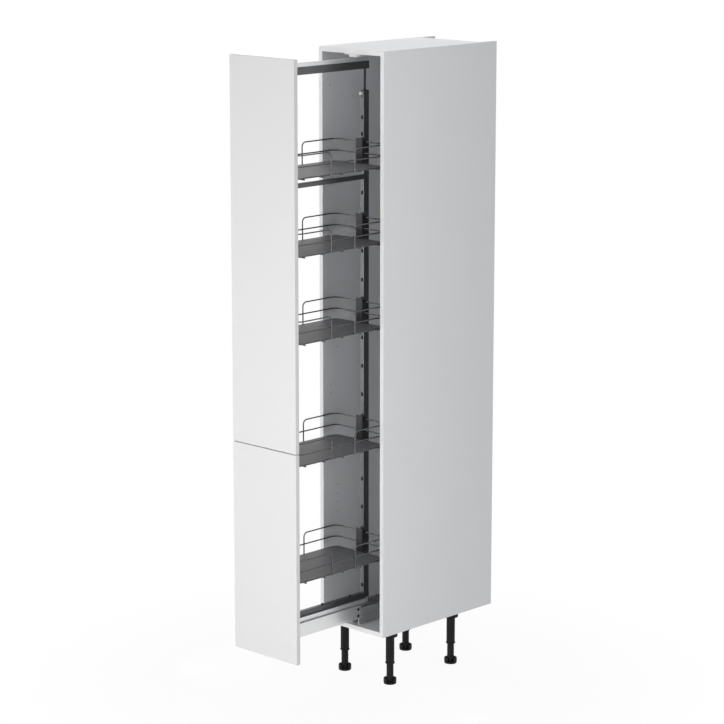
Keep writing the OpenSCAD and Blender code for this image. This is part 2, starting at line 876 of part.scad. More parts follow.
// Guide rail on the top rail, a channel open to the top with a groove in each flank
module guide_rail() {
  foot = guide_top - guide_h;
  groove_z = [foot + guide_groove_low, foot + guide_groove_low + guide_groove_h];
  groove_x = guide_half - guide_groove;
  color(silver) seat()
    profile(top_rail_front, top_rail_rear)
      polygon([
        [-guide_half, foot], [-guide_half, groove_z[0]], [-groove_x, groove_z[0]],
        [-groove_x, groove_z[1]], [-guide_half, groove_z[1]], [-guide_half, guide_top],
        [-guide_bore, guide_top], [-guide_bore, guide_floor],
        [guide_bore, guide_floor], [guide_bore, guide_top],
        [guide_half, guide_top], [guide_half, groove_z[1]], [groove_x, groove_z[1]],
        [groove_x, groove_z[0]], [guide_half, groove_z[0]], [guide_half, foot]
      ]);
}

// Guide bracket under the top panel, with a boss that holds the roller's axle
module guide_bracket() {
  color(white_plastic) seat()
    difference() {
      union() {
        span([-bracket_w / 2, roller_y - bracket_d / 2, ceiling_z - bracket_rib],
             [bracket_w / 2, roller_y + bracket_d / 2, ceiling_z]);
        span([-bracket_w / 4, roller_y - bracket_d / 3, bracket_foot],
             [bracket_w / 4, roller_y + bracket_d / 3, ceiling_z - bracket_rib]);
        translate([0, roller_y, roller_z + roller_h + slide_gap])
          cylinder(h = bracket_foot - roller_z - roller_h - slide_gap + past, r = boss_r);
      }
      translate([0, roller_y, roller_z])
        cylinder(h = ceiling_z - roller_z + past, r = axle_d / 2 + seat_gap);
      for (s = [-1, 1])
        translate([s * guide_screw_x, roller_y, ceiling_z - bracket_rib]) screw_hole(bracket_rib + past);
    }
}

module guide_screws() {
  color(zinc) seat()
    for (s = [-1, 1])
      translate([s * guide_screw_x, roller_y, ceiling_z - bracket_rib]) {
        translate([0, 0, -screw_head_h]) cylinder(h = screw_head_h, d = screw_head_d);
        cylinder(h = bracket_rib + screw_in, d = screw_d);
      }
}

module guide_axle() {
  color(zinc) seat()
    translate([0, roller_y, roller_z - slide_gap - axle_head])
      union() {
        cylinder(h = axle_head, d = axle_d + 2 * axle_head_lip);
        cylinder(h = ceiling_z - roller_z + slide_gap + axle_head, d = axle_d);
      }
}

module guide_roller() {
  color(white_plastic) seat()
    translate([0, roller_y, roller_z])
      difference() {
        cylinder(h = roller_h, r = roller_r);
        translate([0, 0, -past]) cylinder(h = roller_h + 2 * past, r = axle_d / 2 + running_fit);
      }
}

// Straight wires along x, y and z
module wire_x(x0, x1, y, z) {
  translate([x0, y, z]) rotate([0, 90, 0]) cylinder(h = x1 - x0, d = wire_d);
}

module wire_y(y0, y1, x, z) {
  translate([x, y0, z]) rotate([-90, 0, 0]) cylinder(h = y1 - y0, d = wire_d);
}

module wire_z(z0, z1, x, y) {
  translate([x, y, z0]) cylinder(h = z1 - z0, d = wire_d);
}

// Quarter bend of radius r in the xy plane, starting at angle a
module bend(r, a) {
  rotate([0, 0, a]) rotate_extrude(angle = 90) translate([r, 0]) circle(d = wire_d);
}

// Closed wire ring round the tray
module wire_ring(z) {
  x = ring_half - ring_r;
  y = ring_reach - ring_r;
  for (s = [-1, 1]) {
    wire_x(-x, x, s * ring_reach, z);
    wire_y(-y, y, s * ring_half, z);
  }
  translate([x, y, z]) bend(ring_r, 0);
  translate([-x, y, z]) bend(ring_r, 90);
  translate([-x, -y, z]) bend(ring_r, 180);
  translate([x, -y, z]) bend(ring_r, 270);
}

// Rim wire of the rear half: round the rear end, then down a leg on each side
module rim_wire(foot_z, z) {
  x = rim_half - rim_r;
  y = rim_reach - rim_r;
  wire_x(-x, x, rim_reach, z);
  translate([x, y, z]) bend(rim_r, 0);
  translate([-x, y, z]) bend(rim_r, 90);
  for (s = [-1, 1]) {
    wire_y(leg_mid + leg_r, y, s * rim_half, z);
    translate([s * rim_half, leg_mid + leg_r, z - leg_r]) rotate([90, 0, 90]) bend(leg_r, 90);
    wire_z(foot_z, z - leg_r, s * rim_half, leg_mid);
  }
}

// Wire basket: a ring at the tray, a middle ring, two rim wires and the cross wires
module basket_wires(i) {
  base_z = -wire_r;
  color(anthracite) seat()
    translate([0, basket_mid, basket_zs[i]])
      union() {
        wire_ring(base_z);
        wire_ring(ring_lift);
        rim_wire(base_z - wire_r, rim_lift);
        mirror([0, 1, 0]) rim_wire(base_z - wire_r, rim_lift);
        for (k = [-cross_side : cross_side])
          wire_x(-ring_half - cross_over, ring_half + cross_over, k * cross_pitch, base_z - wire_step);
      }
}

// Tray board inside the bottom ring, on the cross wires
module basket_tray(i) {
  half_x = ring_half - tray_edge;
  half_y = ring_reach - tray_edge;
  r = ring_r - tray_edge;
  color(tray_grey) seat()
    translate([0, basket_mid, basket_zs[i] - tray_t])
      linear_extrude(height = tray_t)
        union() {
          square([2 * half_x, 2 * (half_y - r)], center = true);
          square([2 * (half_x - r), 2 * half_y], center = true);
          for (s = [-1, 1], t = [-1, 1])
            translate([s * (half_x - r), t * (half_y - r)]) circle(r = r);
        }
}

// Clamp that holds the ring and rim wires and slides on a post whose face is at y = 0
module post_clamp(half, grip) {
  inside = half + slide_gap;
  outside = inside + clamp_wall;
  difference() {
    span([-outside, -clamp_ahead, clamp_lift], [outside, grip, clamp_lift + clamp_h]);
    span([-inside, -slide_gap, clamp_lift - past], [inside, grip + past, clamp_lift + clamp_h + past]);
    translate([0, -basket_end - wire_step, ring_lift]) rotate([0, 90, 0])
      cylinder(h = 2 * outside + 2 * past, d = wire_d + 2 * seat_gap, center = true);
    translate([0, -basket_end, rim_lift]) rotate([0, 90, 0])
      cylinder(h = 2 * outside + 2 * past, d = wire_d + 2 * seat_gap, center = true);
  }
}

module basket_clamps(i) {
  color(black_plastic) seat()
    translate([0, 0, basket_zs[i]]) {
      translate([0, rear_post_face, 0]) post_clamp(rear_post_half, clamp_grip);
      translate([0, front_post_face, 0]) mirror([0, 1, 0]) post_clamp(front_post_half, front_grip);
    }
}

side_panel(-1);  // side_panel_left
side_panel(1);  // side_panel_right
top_panel();
bottom_panel();
back_panel();
leg_sleeve(-1, 0);  // leg_sleeve_front_left
leg_sleeve(1, 0);  // leg_sleeve_front_right
leg_sleeve(-1, 1);  // leg_sleeve_rear_left
leg_sleeve(1, 1);  // leg_sleeve_rear_right
foot(-1, 0);  // foot_front_left
foot(1, 0);  // foot_front_right
foot(-1, 1);  // foot_rear_left
foot(1, 1);  // foot_rear_right
leg_screws();
base_rail();
base_rail_screws();
middle_slide(-1);  // middle_slide_left
middle_slide(1);  // middle_slide_right
inner_ball_cages();
outer_ball_cages();
runner_carriage();
carrier_channel();
front_plate();
damper_body();
damper_plunger();
damper_striker();
door_leaf(upper_door_z, cabinet_h);  // upper_door
door_leaf(0, lower_door_h);  // lower_door
door_brackets();
door_screws();
bottom_rail();
frame_bolts();
post(front_post_half, door_y, front_post_face, front_post_face);  // front_post
post(rear_post_half, rear_post_face, frame_rear, rear_post_face);  // rear_post
mid_rail();
post_plugs();
clamp_screws();
top_rail();
top_rail_caps();
telescopic_rods();
guide_rail();
guide_bracket();
guide_screws();
guide_axle();
guide_roller();
basket_wires(0);  // basket_1_wires
basket_tray(0);  // basket_1_tray
basket_clamps(0);  // basket_1_clamps
basket_wires(1);  // basket_2_wires
basket_tray(1);  // basket_2_tray
basket_clamps(1);  // basket_2_clamps
basket_wires(2);  // basket_3_wires
basket_tray(2);  // basket_3_tray
basket_clamps(2);  // basket_3_clamps
basket_wires(3);  // basket_4_wires
basket_tray(3);  // basket_4_tray
basket_clamps(3);  // basket_4_clamps
basket_wires(4);  // basket_5_wires
basket_tray(4);  // basket_5_tray
basket_clamps(4);  // basket_5_clamps
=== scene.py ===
# %% [markdown]
# # A tall pull-out pantry
# A narrow white cabinet stands on levelling legs. A dark frame of slotted posts and rails carries its
# doors and five wire baskets, and all of it rolls out on a runner in the cabinet's floor.
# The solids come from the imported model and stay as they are. This lesson gives them their looks: rounded
# edges, wires bent round real corners, screws with a drive recess, and a finish for every material.

# %% Load the frame
import json
import math

import bmesh
import bpy
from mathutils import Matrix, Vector


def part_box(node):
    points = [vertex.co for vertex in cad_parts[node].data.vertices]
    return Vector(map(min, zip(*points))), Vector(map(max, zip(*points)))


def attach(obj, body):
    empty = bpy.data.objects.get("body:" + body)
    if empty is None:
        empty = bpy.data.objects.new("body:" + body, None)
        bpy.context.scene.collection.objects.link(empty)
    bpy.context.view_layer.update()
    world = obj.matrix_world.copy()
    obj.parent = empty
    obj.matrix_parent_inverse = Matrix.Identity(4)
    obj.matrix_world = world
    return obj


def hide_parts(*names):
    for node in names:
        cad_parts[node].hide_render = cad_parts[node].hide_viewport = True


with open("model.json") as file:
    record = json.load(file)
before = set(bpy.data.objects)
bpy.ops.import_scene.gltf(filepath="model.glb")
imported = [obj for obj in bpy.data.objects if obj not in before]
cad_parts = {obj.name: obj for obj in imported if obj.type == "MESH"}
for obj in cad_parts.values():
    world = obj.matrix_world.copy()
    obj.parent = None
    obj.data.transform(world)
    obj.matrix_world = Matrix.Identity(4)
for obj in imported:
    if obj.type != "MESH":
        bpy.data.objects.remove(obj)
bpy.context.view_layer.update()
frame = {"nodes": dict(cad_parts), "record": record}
record = frame["record"]
body_of = {node: body for body, members in record["behaviour"]["bodies"].items() for node in members}
slot_of = {row["node"]: row["material_slot"] for row in record["subparts"]}
MM = 0.001

# %% [markdown]
# ## Camera
# A unit this tall is photographed from some nine metres with a long lens, so that its far edges hardly
# shrink. The camera stands to the right of the open doors and a little above the cabinet. A shifted lens
# would keep the uprights parallel, but it would push the unit out of the views from other sides, so the
# camera is tipped down instead.

# %% Camera
CAMERA_PLACE = (6.069, -6.326, 2.963)
CAMERA_TURN = 43.91
CAMERA_DIP = 11.86
CAMERA_LENS = 130.8
SENSOR = 36

camera_data = bpy.data.cameras.new("camera")
camera_data.sensor_width = SENSOR
camera_data.lens = CAMERA_LENS
camera = bpy.data.objects.new("camera", camera_data)
camera.location = CAMERA_PLACE
camera.rotation_euler = (math.radians(90 - CAMERA_DIP), 0, math.radians(CAMERA_TURN))
bpy.context.scene.collection.objects.link(camera)
bpy.context.scene.camera = camera
bpy.context.scene.view_settings.view_transform = "Standard"
print("camera at", CAMERA_PLACE)

# %% [markdown]
# ## Node helpers
# Shader trees and geometry trees are built in the same way: a node is added, its settings are made, and
# each input gets a value or a link. A tree's own inputs are sockets with names, so one tree serves many
# pieces.

# %% Node helpers
FLOAT, VECTOR, COLOUR = "NodeSocketFloat", "NodeSocketVector", "NodeSocketColor"
GEOMETRY, INTEGER = "NodeSocketGeometry", "NodeSocketInt"
MATERIAL, OBJECT = "NodeSocketMaterial", "NodeSocketObject"


def add(tree, kind, ins=None, **settings):
    """Add a node, make its settings, and give its inputs values or links."""
    node = tree.nodes.new(kind)
    for key, value in settings.items():
        setattr(node, key, value)
    for key, value in (ins or {}).items():
        if isinstance(value, bpy.types.NodeSocket):
            tree.links.new(value, node.inputs[key])
        else:
            node.inputs[key].default_value = value
    return node


def reckon(tree, operation, *values):
    """Add a math node on values or links, and give its result."""
    return add(tree, "ShaderNodeMath", dict(enumerate(values)), operation=operation).outputs[0]


def new_tree(name, kind, ins, outs):
    """A node group with named sockets: the tree, its input sockets and a way to set its outputs."""
    tree = bpy.data.node_groups.new(name, kind)
    for label, socket in ins.items():
        tree.interface.new_socket(label, in_out="INPUT", socket_type=socket)
    for label, socket in outs.items():
        tree.interface.new_socket(label, in_out="OUTPUT", socket_type=socket)
    start = tree.nodes.new("NodeGroupInput").outputs
    end = tree.nodes.new("NodeGroupOutput").inputs
    return tree, start, lambda label, source: tree.links.new(source, end[label])


# %% [markdown]
# ## Effects that the finishes share
# Real surfaces are never one flat colour. Four effects are enough for this part:
# - grain: the fine pits or pearls of a moulded, coated or printed face
# - brush: long lines that rolling, drawing or brushing leaves in one direction
# - spangle: the crystal patches of a zinc layer
# - drift: a colour made a little darker or lighter by any mask
# Each one gives only a mask or a colour, and the material decides what to do with it. A pattern's size is
# in millimetres.

# %% Effect: grain
PER_METRE = 1000.0
GRAIN_DETAIL, GRAIN_ROUGH, GRAIN_LOW, GRAIN_HIGH = 2.0, 0.55, 0.28, 0.72

grain, g_in, g_out = new_tree("grain", "ShaderNodeTree", {"Place": VECTOR, "Size": FLOAT}, {"Mask": FLOAT})
scale = reckon(grain, "DIVIDE", PER_METRE, g_in["Size"])
cloud = add(grain, "ShaderNodeTexNoise", {"Vector": g_in["Place"], "Scale": scale, "Detail": GRAIN_DETAIL,
                                          "Roughness": GRAIN_ROUGH})
spread = add(grain, "ShaderNodeMapRange", {"Value": cloud.outputs[0], "From Min": GRAIN_LOW,
                                           "From Max": GRAIN_HIGH})
g_out("Mask", spread.outputs[0])
print("grain:", len(grain.nodes), "nodes")

# %% Effect: brush
BRUSH_DETAIL, BRUSH_ROUGH, BRUSH_LOW, BRUSH_HIGH = 3.0, 0.65, 0.3, 0.7

brush, b_in, b_out = new_tree("brush", "ShaderNodeTree",
                              {"Place": VECTOR, "Squeeze": VECTOR, "Size": FLOAT}, {"Mask": FLOAT})
squeezed = add(brush, "ShaderNodeVectorMath", {0: b_in["Place"], 1: b_in["Squeeze"]}, operation="MULTIPLY")
scale = reckon(brush, "DIVIDE", PER_METRE, b_in["Size"])
lines = add(brush, "ShaderNodeTexNoise", {"Vector": squeezed.outputs[0], "Scale": scale,
                                          "Detail": BRUSH_DETAIL, "Roughness": BRUSH_ROUGH})
spread = add(brush, "ShaderNodeMapRange", {"Value": lines.outputs[0], "From Min": BRUSH_LOW,
                                           "From Max": BRUSH_HIGH})
b_out("Mask", spread.outputs[0])
print("brush:", len(brush.nodes), "nodes")

# %% Effect: spangle
spangle, s_in, s_out = new_tree("spangle", "ShaderNodeTree", {"Place": VECTOR, "Size": FLOAT},
                                {"Mask": FLOAT})
scale = reckon(spangle, "DIVIDE", PER_METRE, s_in["Size"])
cells = add(spangle, "ShaderNodeTexVoronoi", {"Vector": s_in["Place"], "Scale": scale})
shades = add(spangle, "ShaderNodeSeparateColor", {0: cells.outputs["Color"]})
s_out("Mask", shades.outputs[0])
print("spangle:", len(spangle.nodes), "nodes")

# %% Effect: drift
drift, d_in, d_out = new_tree("drift", "ShaderNodeTree",
                              {"Colour": COLOUR, "Mask": FLOAT, "Amount": FLOAT}, {"Colour": COLOUR})
swing = add(drift, "ShaderNodeMapRange", {"Value": d_in["Mask"], "To Min": -1.0, "To Max": 1.0})
share = reckon(drift, "MULTIPLY_ADD", swing.outputs[0], d_in["Amount"], 1.0)
drifted = add(drift, "ShaderNodeVectorMath", {0: d_in["Colour"], 1: share}, operation="MULTIPLY")
d_out("Colour", drifted.outputs[0])
print("drift:", len(drift.nodes), "nodes")

# %% [markdown]
# ## How a finish is put together
# A finish has a base colour that drifts over a wide mask, a fine mask that moves the roughness a little,
# and the same fine mask as a bump for the light to catch. What is the same all over, like metal, is set
# on the shader itself. One function makes every finish, so only the numbers tell them apart.

# %% How a finish is put together
FINE_SHARE = 0.4
finishes = {}


def finish(slot, colour, tint, rough, fine, bump, wide=180.0, **fixed):
    """Make a material: drifting colour, roughness and bump from one fine mask, and fixed shader inputs."""
    material = bpy.data.materials.new(slot)
    material.use_nodes = True
    tree = material.node_tree
    shader = tree.nodes["Principled BSDF"]
    place = tree.nodes.new("ShaderNodeTexCoord").outputs["Object"]
    patches = add(tree, "ShaderNodeGroup", node_tree=grain)
    tree.links.new(place, patches.inputs["Place"])
    patches.inputs["Size"].default_value = wide
    effect, size, *squeeze = fine
    mask = add(tree, "ShaderNodeGroup", node_tree=bpy.data.node_groups[effect])
    tree.links.new(place, mask.inputs["Place"])
    mask.inputs["Size"].default_value = size
    if squeeze:
        mask.inputs["Squeeze"].default_value = squeeze[0]
    both = add(tree, "ShaderNodeMix", {0: FINE_SHARE, 2: patches.outputs[0], 3: mask.outputs[0]})
    tone = add(tree, "ShaderNodeGroup", node_tree=drift)
    tone.inputs["Colour"].default_value = (*colour, 1)
    tone.inputs["Amount"].default_value = tint
    tree.links.new(both.outputs[0], tone.inputs["Mask"])
    gloss = add(tree, "ShaderNodeMapRange", {"Value": mask.outputs[0], "To Min": rough[0],
                                             "To Max": rough[1]})
    relief = add(tree, "ShaderNodeBump", {"Height": mask.outputs[0], "Distance": bump * MM,
                                          "Strength": 1.0})
    tree.links.new(tone.outputs[0], shader.inputs["Base Color"])
    tree.links.new(gloss.outputs[0], shader.inputs["Roughness"])
    tree.links.new(relief.outputs[0], shader.inputs["Normal"])
    for name, value in fixed.items():
        shader.inputs[name.replace("_", " ")].default_value = value
    finishes[slot] = material


# %% [markdown]
# ## Boards
# The carcass is chipboard with a white melamine face. Its paper is pressed with a fine pearl, so it
# shines softly and never like glass. The front edges carry a band. Its white is brighter than the
# carcass, and that extra brightness is painted light on the faces that look to the front. The doors are
# sprayed with a semi-matt lacquer, which levels out into a slow orange peel. The trays are thin boards
# with a dark grey face. A picture could be wrapped round each board, but a pattern made by nodes needs
# no file and fits any size.

# %% Boards
ALONG_Y = (60.0, 1.0, 60.0)
ALONG_Z = (60.0, 60.0, 1.0)
finish("carcass_white", (0.795, 0.803, 0.825), tint=0.012, rough=(0.38, 0.5), fine=("grain", 0.7),
       bump=0.012)
# The band is real, but its white is set brighter than the carcass as painted light on the front faces.
finish("edge_band", (0.96, 0.96, 0.96), tint=0.01, rough=(0.34, 0.42), fine=("grain", 1.5), bump=0.006)
finish("back_white", (0.84, 0.84, 0.845), tint=0.015, rough=(0.45, 0.6), fine=("grain", 0.9), bump=0.015)
finish("door_white", (0.78, 0.78, 0.782), tint=0.01, wide=320.0, rough=(0.48, 0.58), fine=("grain", 2.6),
       bump=0.012, Specular_IOR_Level=0.25)
finish("tray_grey", (0.152, 0.153, 0.158), tint=0.16, wide=60.0, rough=(0.42, 0.58),
       fine=("brush", 2.0, ALONG_Y), bump=0.02)
finish("chipboard", (0.40, 0.36, 0.31), tint=0.3, wide=4.0, rough=(0.7, 0.9), fine=("grain", 1.2),
       bump=0.2)
print(len(finishes), "finishes for boards")

# %% [markdown]
# ## Coated and moulded pieces
# The frame's tubes are powder coated: the powder melts to a skin with a fine pebble, and its metallic
# pigment looks lighter where a face meets the light. The wires are plated in dark nickel, so they mirror
# the room: bright before the dark posts and dark before the white sweep. Legs and clamps are moulded in
# black plastic, whose mould was sparked to a matt grain. The plugs share that black, which stands in for
# the shade inside the holes as painted shade. The damper is moulded in grey, the guide's bracket and
# roller and the clamping knobs in white. The rods and the frame's bolts are blackened steel.

# %% Coated and moulded pieces
finish("frame_anthracite", (0.112, 0.114, 0.118), tint=0.1, wide=45.0, rough=(0.24, 0.36),
       fine=("grain", 0.55), bump=0.012, Metallic=0.9)
finish("wire_dark", (0.11, 0.112, 0.116), tint=0.1, wide=30.0, rough=(0.13, 0.21), fine=("grain", 0.6),
       bump=0.006, Metallic=1.0)
finish("leg_black", (0.012, 0.012, 0.013), tint=0.18, wide=25.0, rough=(0.42, 0.58), fine=("grain", 0.45),
       bump=0.035, Specular_IOR_Level=0.14)
finish("fitting_black", (0.014, 0.014, 0.015), tint=0.18, wide=18.0, rough=(0.36, 0.52),
       fine=("grain", 0.4), bump=0.03)
finish("damper_grey", (0.12, 0.12, 0.125), tint=0.12, wide=18.0, rough=(0.36, 0.5), fine=("grain", 0.4),
       bump=0.025)
finish("rod_black", (0.03, 0.03, 0.032), tint=0.08, wide=40.0, rough=(0.25, 0.36),
       fine=("brush", 0.8, ALONG_Z), bump=0.008, Metallic=0.6)
finish("guide_white", (0.92, 0.92, 0.91), tint=0.015, wide=20.0, rough=(0.34, 0.46), fine=("grain", 0.5),
       bump=0.015)
print(len(finishes), "finishes with the coated and moulded ones")

# %% [markdown]
# ## Bare metals
# The base rail and slides are cold-rolled strip with a zinc layer, so they show spangle. The carriage is
# drawn aluminium with fine lines along its travel. Screws are plated, the ball cages are pressed steel. A
# bare metal has no colour below its shine, so its base colour says how much of the room it mirrors.

# %% Bare metals
finish("rail_zinc", (0.67, 0.675, 0.68), tint=0.1, wide=30.0, rough=(0.3, 0.46), fine=("spangle", 7.0),
       bump=0.004, Metallic=1.0)
finish("runner_silver", (0.74, 0.745, 0.75), tint=0.04, wide=70.0, rough=(0.28, 0.42),
       fine=("brush", 1.6, ALONG_Y), bump=0.008, Metallic=0.9)
finish("guide_silver", (0.72, 0.725, 0.73), tint=0.04, wide=70.0, rough=(0.26, 0.4),
       fine=("brush", 1.6, ALONG_Y), bump=0.008, Metallic=0.9)
finish("cage_steel", (0.52, 0.52, 0.53), tint=0.08, wide=15.0, rough=(0.32, 0.45),
       fine=("brush", 1.0, ALONG_Y), bump=0.006, Metallic=1.0)
finish("screw_zinc", (0.70, 0.71, 0.70), tint=0.06, wide=8.0, rough=(0.22, 0.36), fine=("grain", 0.8),
       bump=0.006, Metallic=1.0)
finish("plunger_steel", (0.6, 0.6, 0.61), tint=0.04, wide=10.0, rough=(0.16, 0.26),
       fine=("brush", 0.6, ALONG_Y), bump=0.003, Metallic=1.0)
finish("axle_steel", (0.62, 0.62, 0.63), tint=0.04, wide=8.0, rough=(0.18, 0.28),
       fine=("brush", 0.6, ALONG_Z), bump=0.003, Metallic=1.0)
print(len(finishes), "finishes in all")

# %% [markdown]
# ## Pieces that stand for solids
# A new piece is a mesh at the origin. What a modifier makes of it is kept as a plain mesh, so nothing is
# worked out again later. Flat shading would show every facet of a round, and smooth shading alone would
# smear over the corners, so a piece is smooth up to an angle and its large faces keep their own
# direction.

# %% Pieces that stand for solids
def link_new(name, form):
    """A new object at the origin from a bmesh."""
    mesh = bpy.data.meshes.new(name)
    form.to_mesh(mesh)
    form.free()
    piece = bpy.data.objects.new(name, mesh)
    bpy.context.scene.collection.objects.link(piece)
    return piece


def bake(piece):
    """Keep what the modifiers make as a plain mesh."""
    graph = bpy.context.evaluated_depsgraph_get()
    result = piece.evaluated_get(graph)
    made = bpy.data.meshes.new_from_object(result, preserve_all_data_layers=True, depsgraph=graph)
    piece.modifiers.clear()
    piece.data = made


def shade(piece, sharp=50):
    """Smooth shading up to an angle in degrees, with flat faces kept flat."""
    piece.data.shade_smooth()
    piece.data.set_sharp_from_angle(angle=math.radians(sharp))
    weights = piece.modifiers.new("weights", "WEIGHTED_NORMAL")
    weights.keep_sharp = True
    bake(piece)


def stand_in(piece, node):
    """The piece stands for a CAD node: it joins the node's body, and the node is hidden."""
    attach(piece, body_of[node])
    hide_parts(node)


# %% [markdown]
# ## Rounded edges
# No real board, tube or moulding ends in a knife edge. A copy of the solid is cleaned, its convex edges
# are bevelled, and the copy stands for the solid. A Bevel modifier would try the rims of small holes too,
# where a bevel has no room, so the edges are picked here by their angle and length.

# %% Rounded edges
JOIN_WITHIN, FLAT_WITHIN = 0.004 * MM, math.radians(0.5)
BEVEL_ROOM, BEVEL_ANGLE = 2.2, math.radians(40)
BEVEL_STEPS, BEVEL_ROUND = 2, 0.5


def clean_copy(node):
    """The node's solid as a bmesh with joined corners and whole faces."""
    form = bmesh.new()
    form.from_mesh(frame["nodes"][node].data)
    bmesh.ops.remove_doubles(form, verts=form.verts, dist=JOIN_WITHIN)
    bmesh.ops.dissolve_limit(form, angle_limit=FLAT_WITHIN, verts=form.verts, edges=form.edges)
    return form


def rounded(node, width, shortest=0.0, form=None):
    """A copy of the node with its convex edges rounded by a width in millimetres."""
    form = form or clean_copy(node)
    least = max(shortest, BEVEL_ROOM * width) * MM
    edges = [e for e in form.edges if len(e.link_faces) == 2 and e.is_convex and e.calc_length() > least
             and e.calc_face_angle() > BEVEL_ANGLE]
    bmesh.ops.bevel(form, geom=edges, offset=width * MM, offset_type="OFFSET", segments=BEVEL_STEPS,
                    profile=BEVEL_ROUND, affect="EDGES", clamp_overlap=True)
    piece = link_new(node + "_looks", form)
    piece.data.materials.append(finishes[slot_of[node]])
    return piece


def soften(width, *nodes, shortest=0.0):
    """Rounded copies stand for several nodes."""
    for node in nodes:
        piece = rounded(node, width, shortest)
        shade(piece)
        stand_in(piece, node)
    print("rounded by", width, "mm:", ", ".join(nodes))


# %% [markdown]
# ## Doors, panels and trays
# The doors' lacquer runs over a milled edge of about a millimetre. Panels are broken with sandpaper after
# banding, so their edges are much tighter. A band is too thin to need a shape of its own: it is a second
# material on the faces that look to the front, and its brighter white there is partly painted light.

# %% Doors, panels and trays
DOOR_EDGE, PANEL_EDGE, THIN_EDGE = 1.0, 0.5, 0.4
TO_FRONT = -0.9
BASKETS = range(1, 6)


def banded(node):
    """A panel whose front edge carries the band, with the band's brighter white partly painted light."""
    piece = rounded(node, PANEL_EDGE)
    # Faces that look to the front get the band, whose extra brightness is painted light.
    piece.data.materials.append(finishes["edge_band"])
    for face in piece.data.polygons:
        if face.normal.y < TO_FRONT:
            face.material_index = 1
    return piece


soften(DOOR_EDGE, "upper_door", "lower_door")
soften(THIN_EDGE, "back_panel", *(f"basket_{k}_tray" for k in BASKETS))
for node in ("top_panel", "bottom_panel"):
    piece = banded(node)
    shade(piece)
    stand_in(piece, node)
print("banded the top and bottom panel")

# %% [markdown]
# ## Frame, runner and guide
# Tubes are drawn through a die with a small corner radius, and their slots are punched, which leaves a
# sharp edge. Folded strip gets only the burr taken off. The corners of a tube are much longer than its
# slots, so a least length is enough to tell them apart.

# %% Frame, runner and guide
TUBE_EDGE, TUBE_LEAST = 1.3, 60
STRIP_EDGE, STRIP_LEAST = 0.3, 6
MOULD_EDGE, FINE_EDGE = 0.5, 0.2
soften(TUBE_EDGE, "front_post", "rear_post", "top_rail", "mid_rail", "bottom_rail", shortest=TUBE_LEAST)
soften(STRIP_EDGE, "base_rail", "middle_slide_left", "middle_slide_right", "runner_carriage",
       "carrier_channel", "front_plate", "door_brackets", "guide_rail", shortest=STRIP_LEAST)
soften(MOULD_EDGE, "damper_body", "damper_striker", "top_rail_caps", "post_plugs", "guide_bracket",
       "guide_roller")
soften(FINE_EDGE, "inner_ball_cages", "outer_ball_cages", "damper_plunger", "guide_axle",
       "telescopic_rods")

# %% [markdown]
# ## Turned shapes
# Screws, feet and sleeves are round, so a profile of radius and height is spun about an upright axis. A
# Screw modifier could spin it too, but rows that are joined face by face close in one point on the axis.

# %% Turned shapes
def turned(name, profile, steps=48):
    """Spin (radius, height) pairs in millimetres about the z axis."""
    form = bmesh.new()
    turns = [2 * math.pi * k / steps for k in range(steps)]

    def row(radius, height):
        if radius == 0:
            return [form.verts.new((0, 0, height * MM))]
        return [form.verts.new((radius * MM * math.cos(a), radius * MM * math.sin(a), height * MM))
                for a in turns]

    rows = [row(radius, height) for radius, height in profile]
    for low, high in zip(rows, rows[1:]):
        for k in range(steps):
            after = k + 1
            loop = [low[k % len(low)], low[after % len(low)],
                    high[after % len(high)], high[k % len(high)]]
            form.faces.new(list(dict.fromkeys(loop)))
    bmesh.ops.recalc_face_normals(form, faces=form.faces)
    return link_new(name, form)


def move(piece, place):
    """Shift the mesh itself, so the object stays at the origin."""
    for corner in piece.data.vertices:
        corner.co += Vector(place)


def forget(*helpers):
    """Remove objects that only helped to build a piece."""
    for helper in helpers:
        bpy.data.objects.remove(helper)


# %% [markdown]
# ## Geometry trees
# What repeats or follows a path is left to a geometry tree, because a number or a radius can then be
# changed in one place. Four steps come back in these trees, so each is a function: copies are set on
# points, cutters are taken out of a shape, shapes are joined, and a shape gets its material.

# %% Steps of a geometry tree
def shape_tree(name, **ins):
    """A geometry tree that takes and gives a shape."""
    return new_tree(name, "GeometryNodeTree", {"Geometry": GEOMETRY, **ins}, {"Geometry": GEOMETRY})


def scatter(tree, spots, shape, **turn):
    """Set a copy of a shape on every point."""
    placed = add(tree, "GeometryNodeInstanceOnPoints", {"Points": spots, "Instance": shape, **turn})
    return add(tree, "GeometryNodeRealizeInstances", {0: placed.outputs[0]}).outputs[0]


def cut_out(tree, shape, *cutters):
    """Take cutters out of a shape."""
    cut = add(tree, "GeometryNodeMeshBoolean", {"Mesh 1": shape}, operation="DIFFERENCE", solver="EXACT")
    for cutter in cutters:
        tree.links.new(cutter, cut.inputs["Mesh 2"])
    return cut.outputs[0]


def join(tree, *shapes):
    """Join several shapes."""
    whole = add(tree, "GeometryNodeJoinGeometry")
    for shape in shapes:
        tree.links.new(shape, whole.inputs[0])
    return whole.outputs[0]


def coat(tree, shape, material):
    """Give a shape its material."""
    return add(tree, "GeometryNodeSetMaterial", {0: shape, "Material": material}).outputs[0]


# %% Use of a geometry tree
def grow(piece, tree, **values):
    """Run a geometry tree on a piece with named inputs, and keep the result."""
    sockets = {item.name: item.identifier for item in tree.interface.items_tree
               if item.in_out == "INPUT"}
    modifier = piece.modifiers.new(tree.name, "NODES")
    modifier.node_group = tree
    for name, value in values.items():
        modifier[sockets[name]] = value
    bake(piece)


def points(name, places, **vectors):
    """An object of loose points, each with its own vectors."""
    mesh = bpy.data.meshes.new(name)
    mesh.from_pydata([tuple(p) for p in places], [], [])
    for label, values in vectors.items():
        layer = mesh.attributes.new(label, "FLOAT_VECTOR", "POINT")
        layer.data.foreach_set("vector", [c for v in values for c in v])
    piece = bpy.data.objects.new(name, mesh)
    bpy.context.scene.collection.objects.link(piece)
    return piece


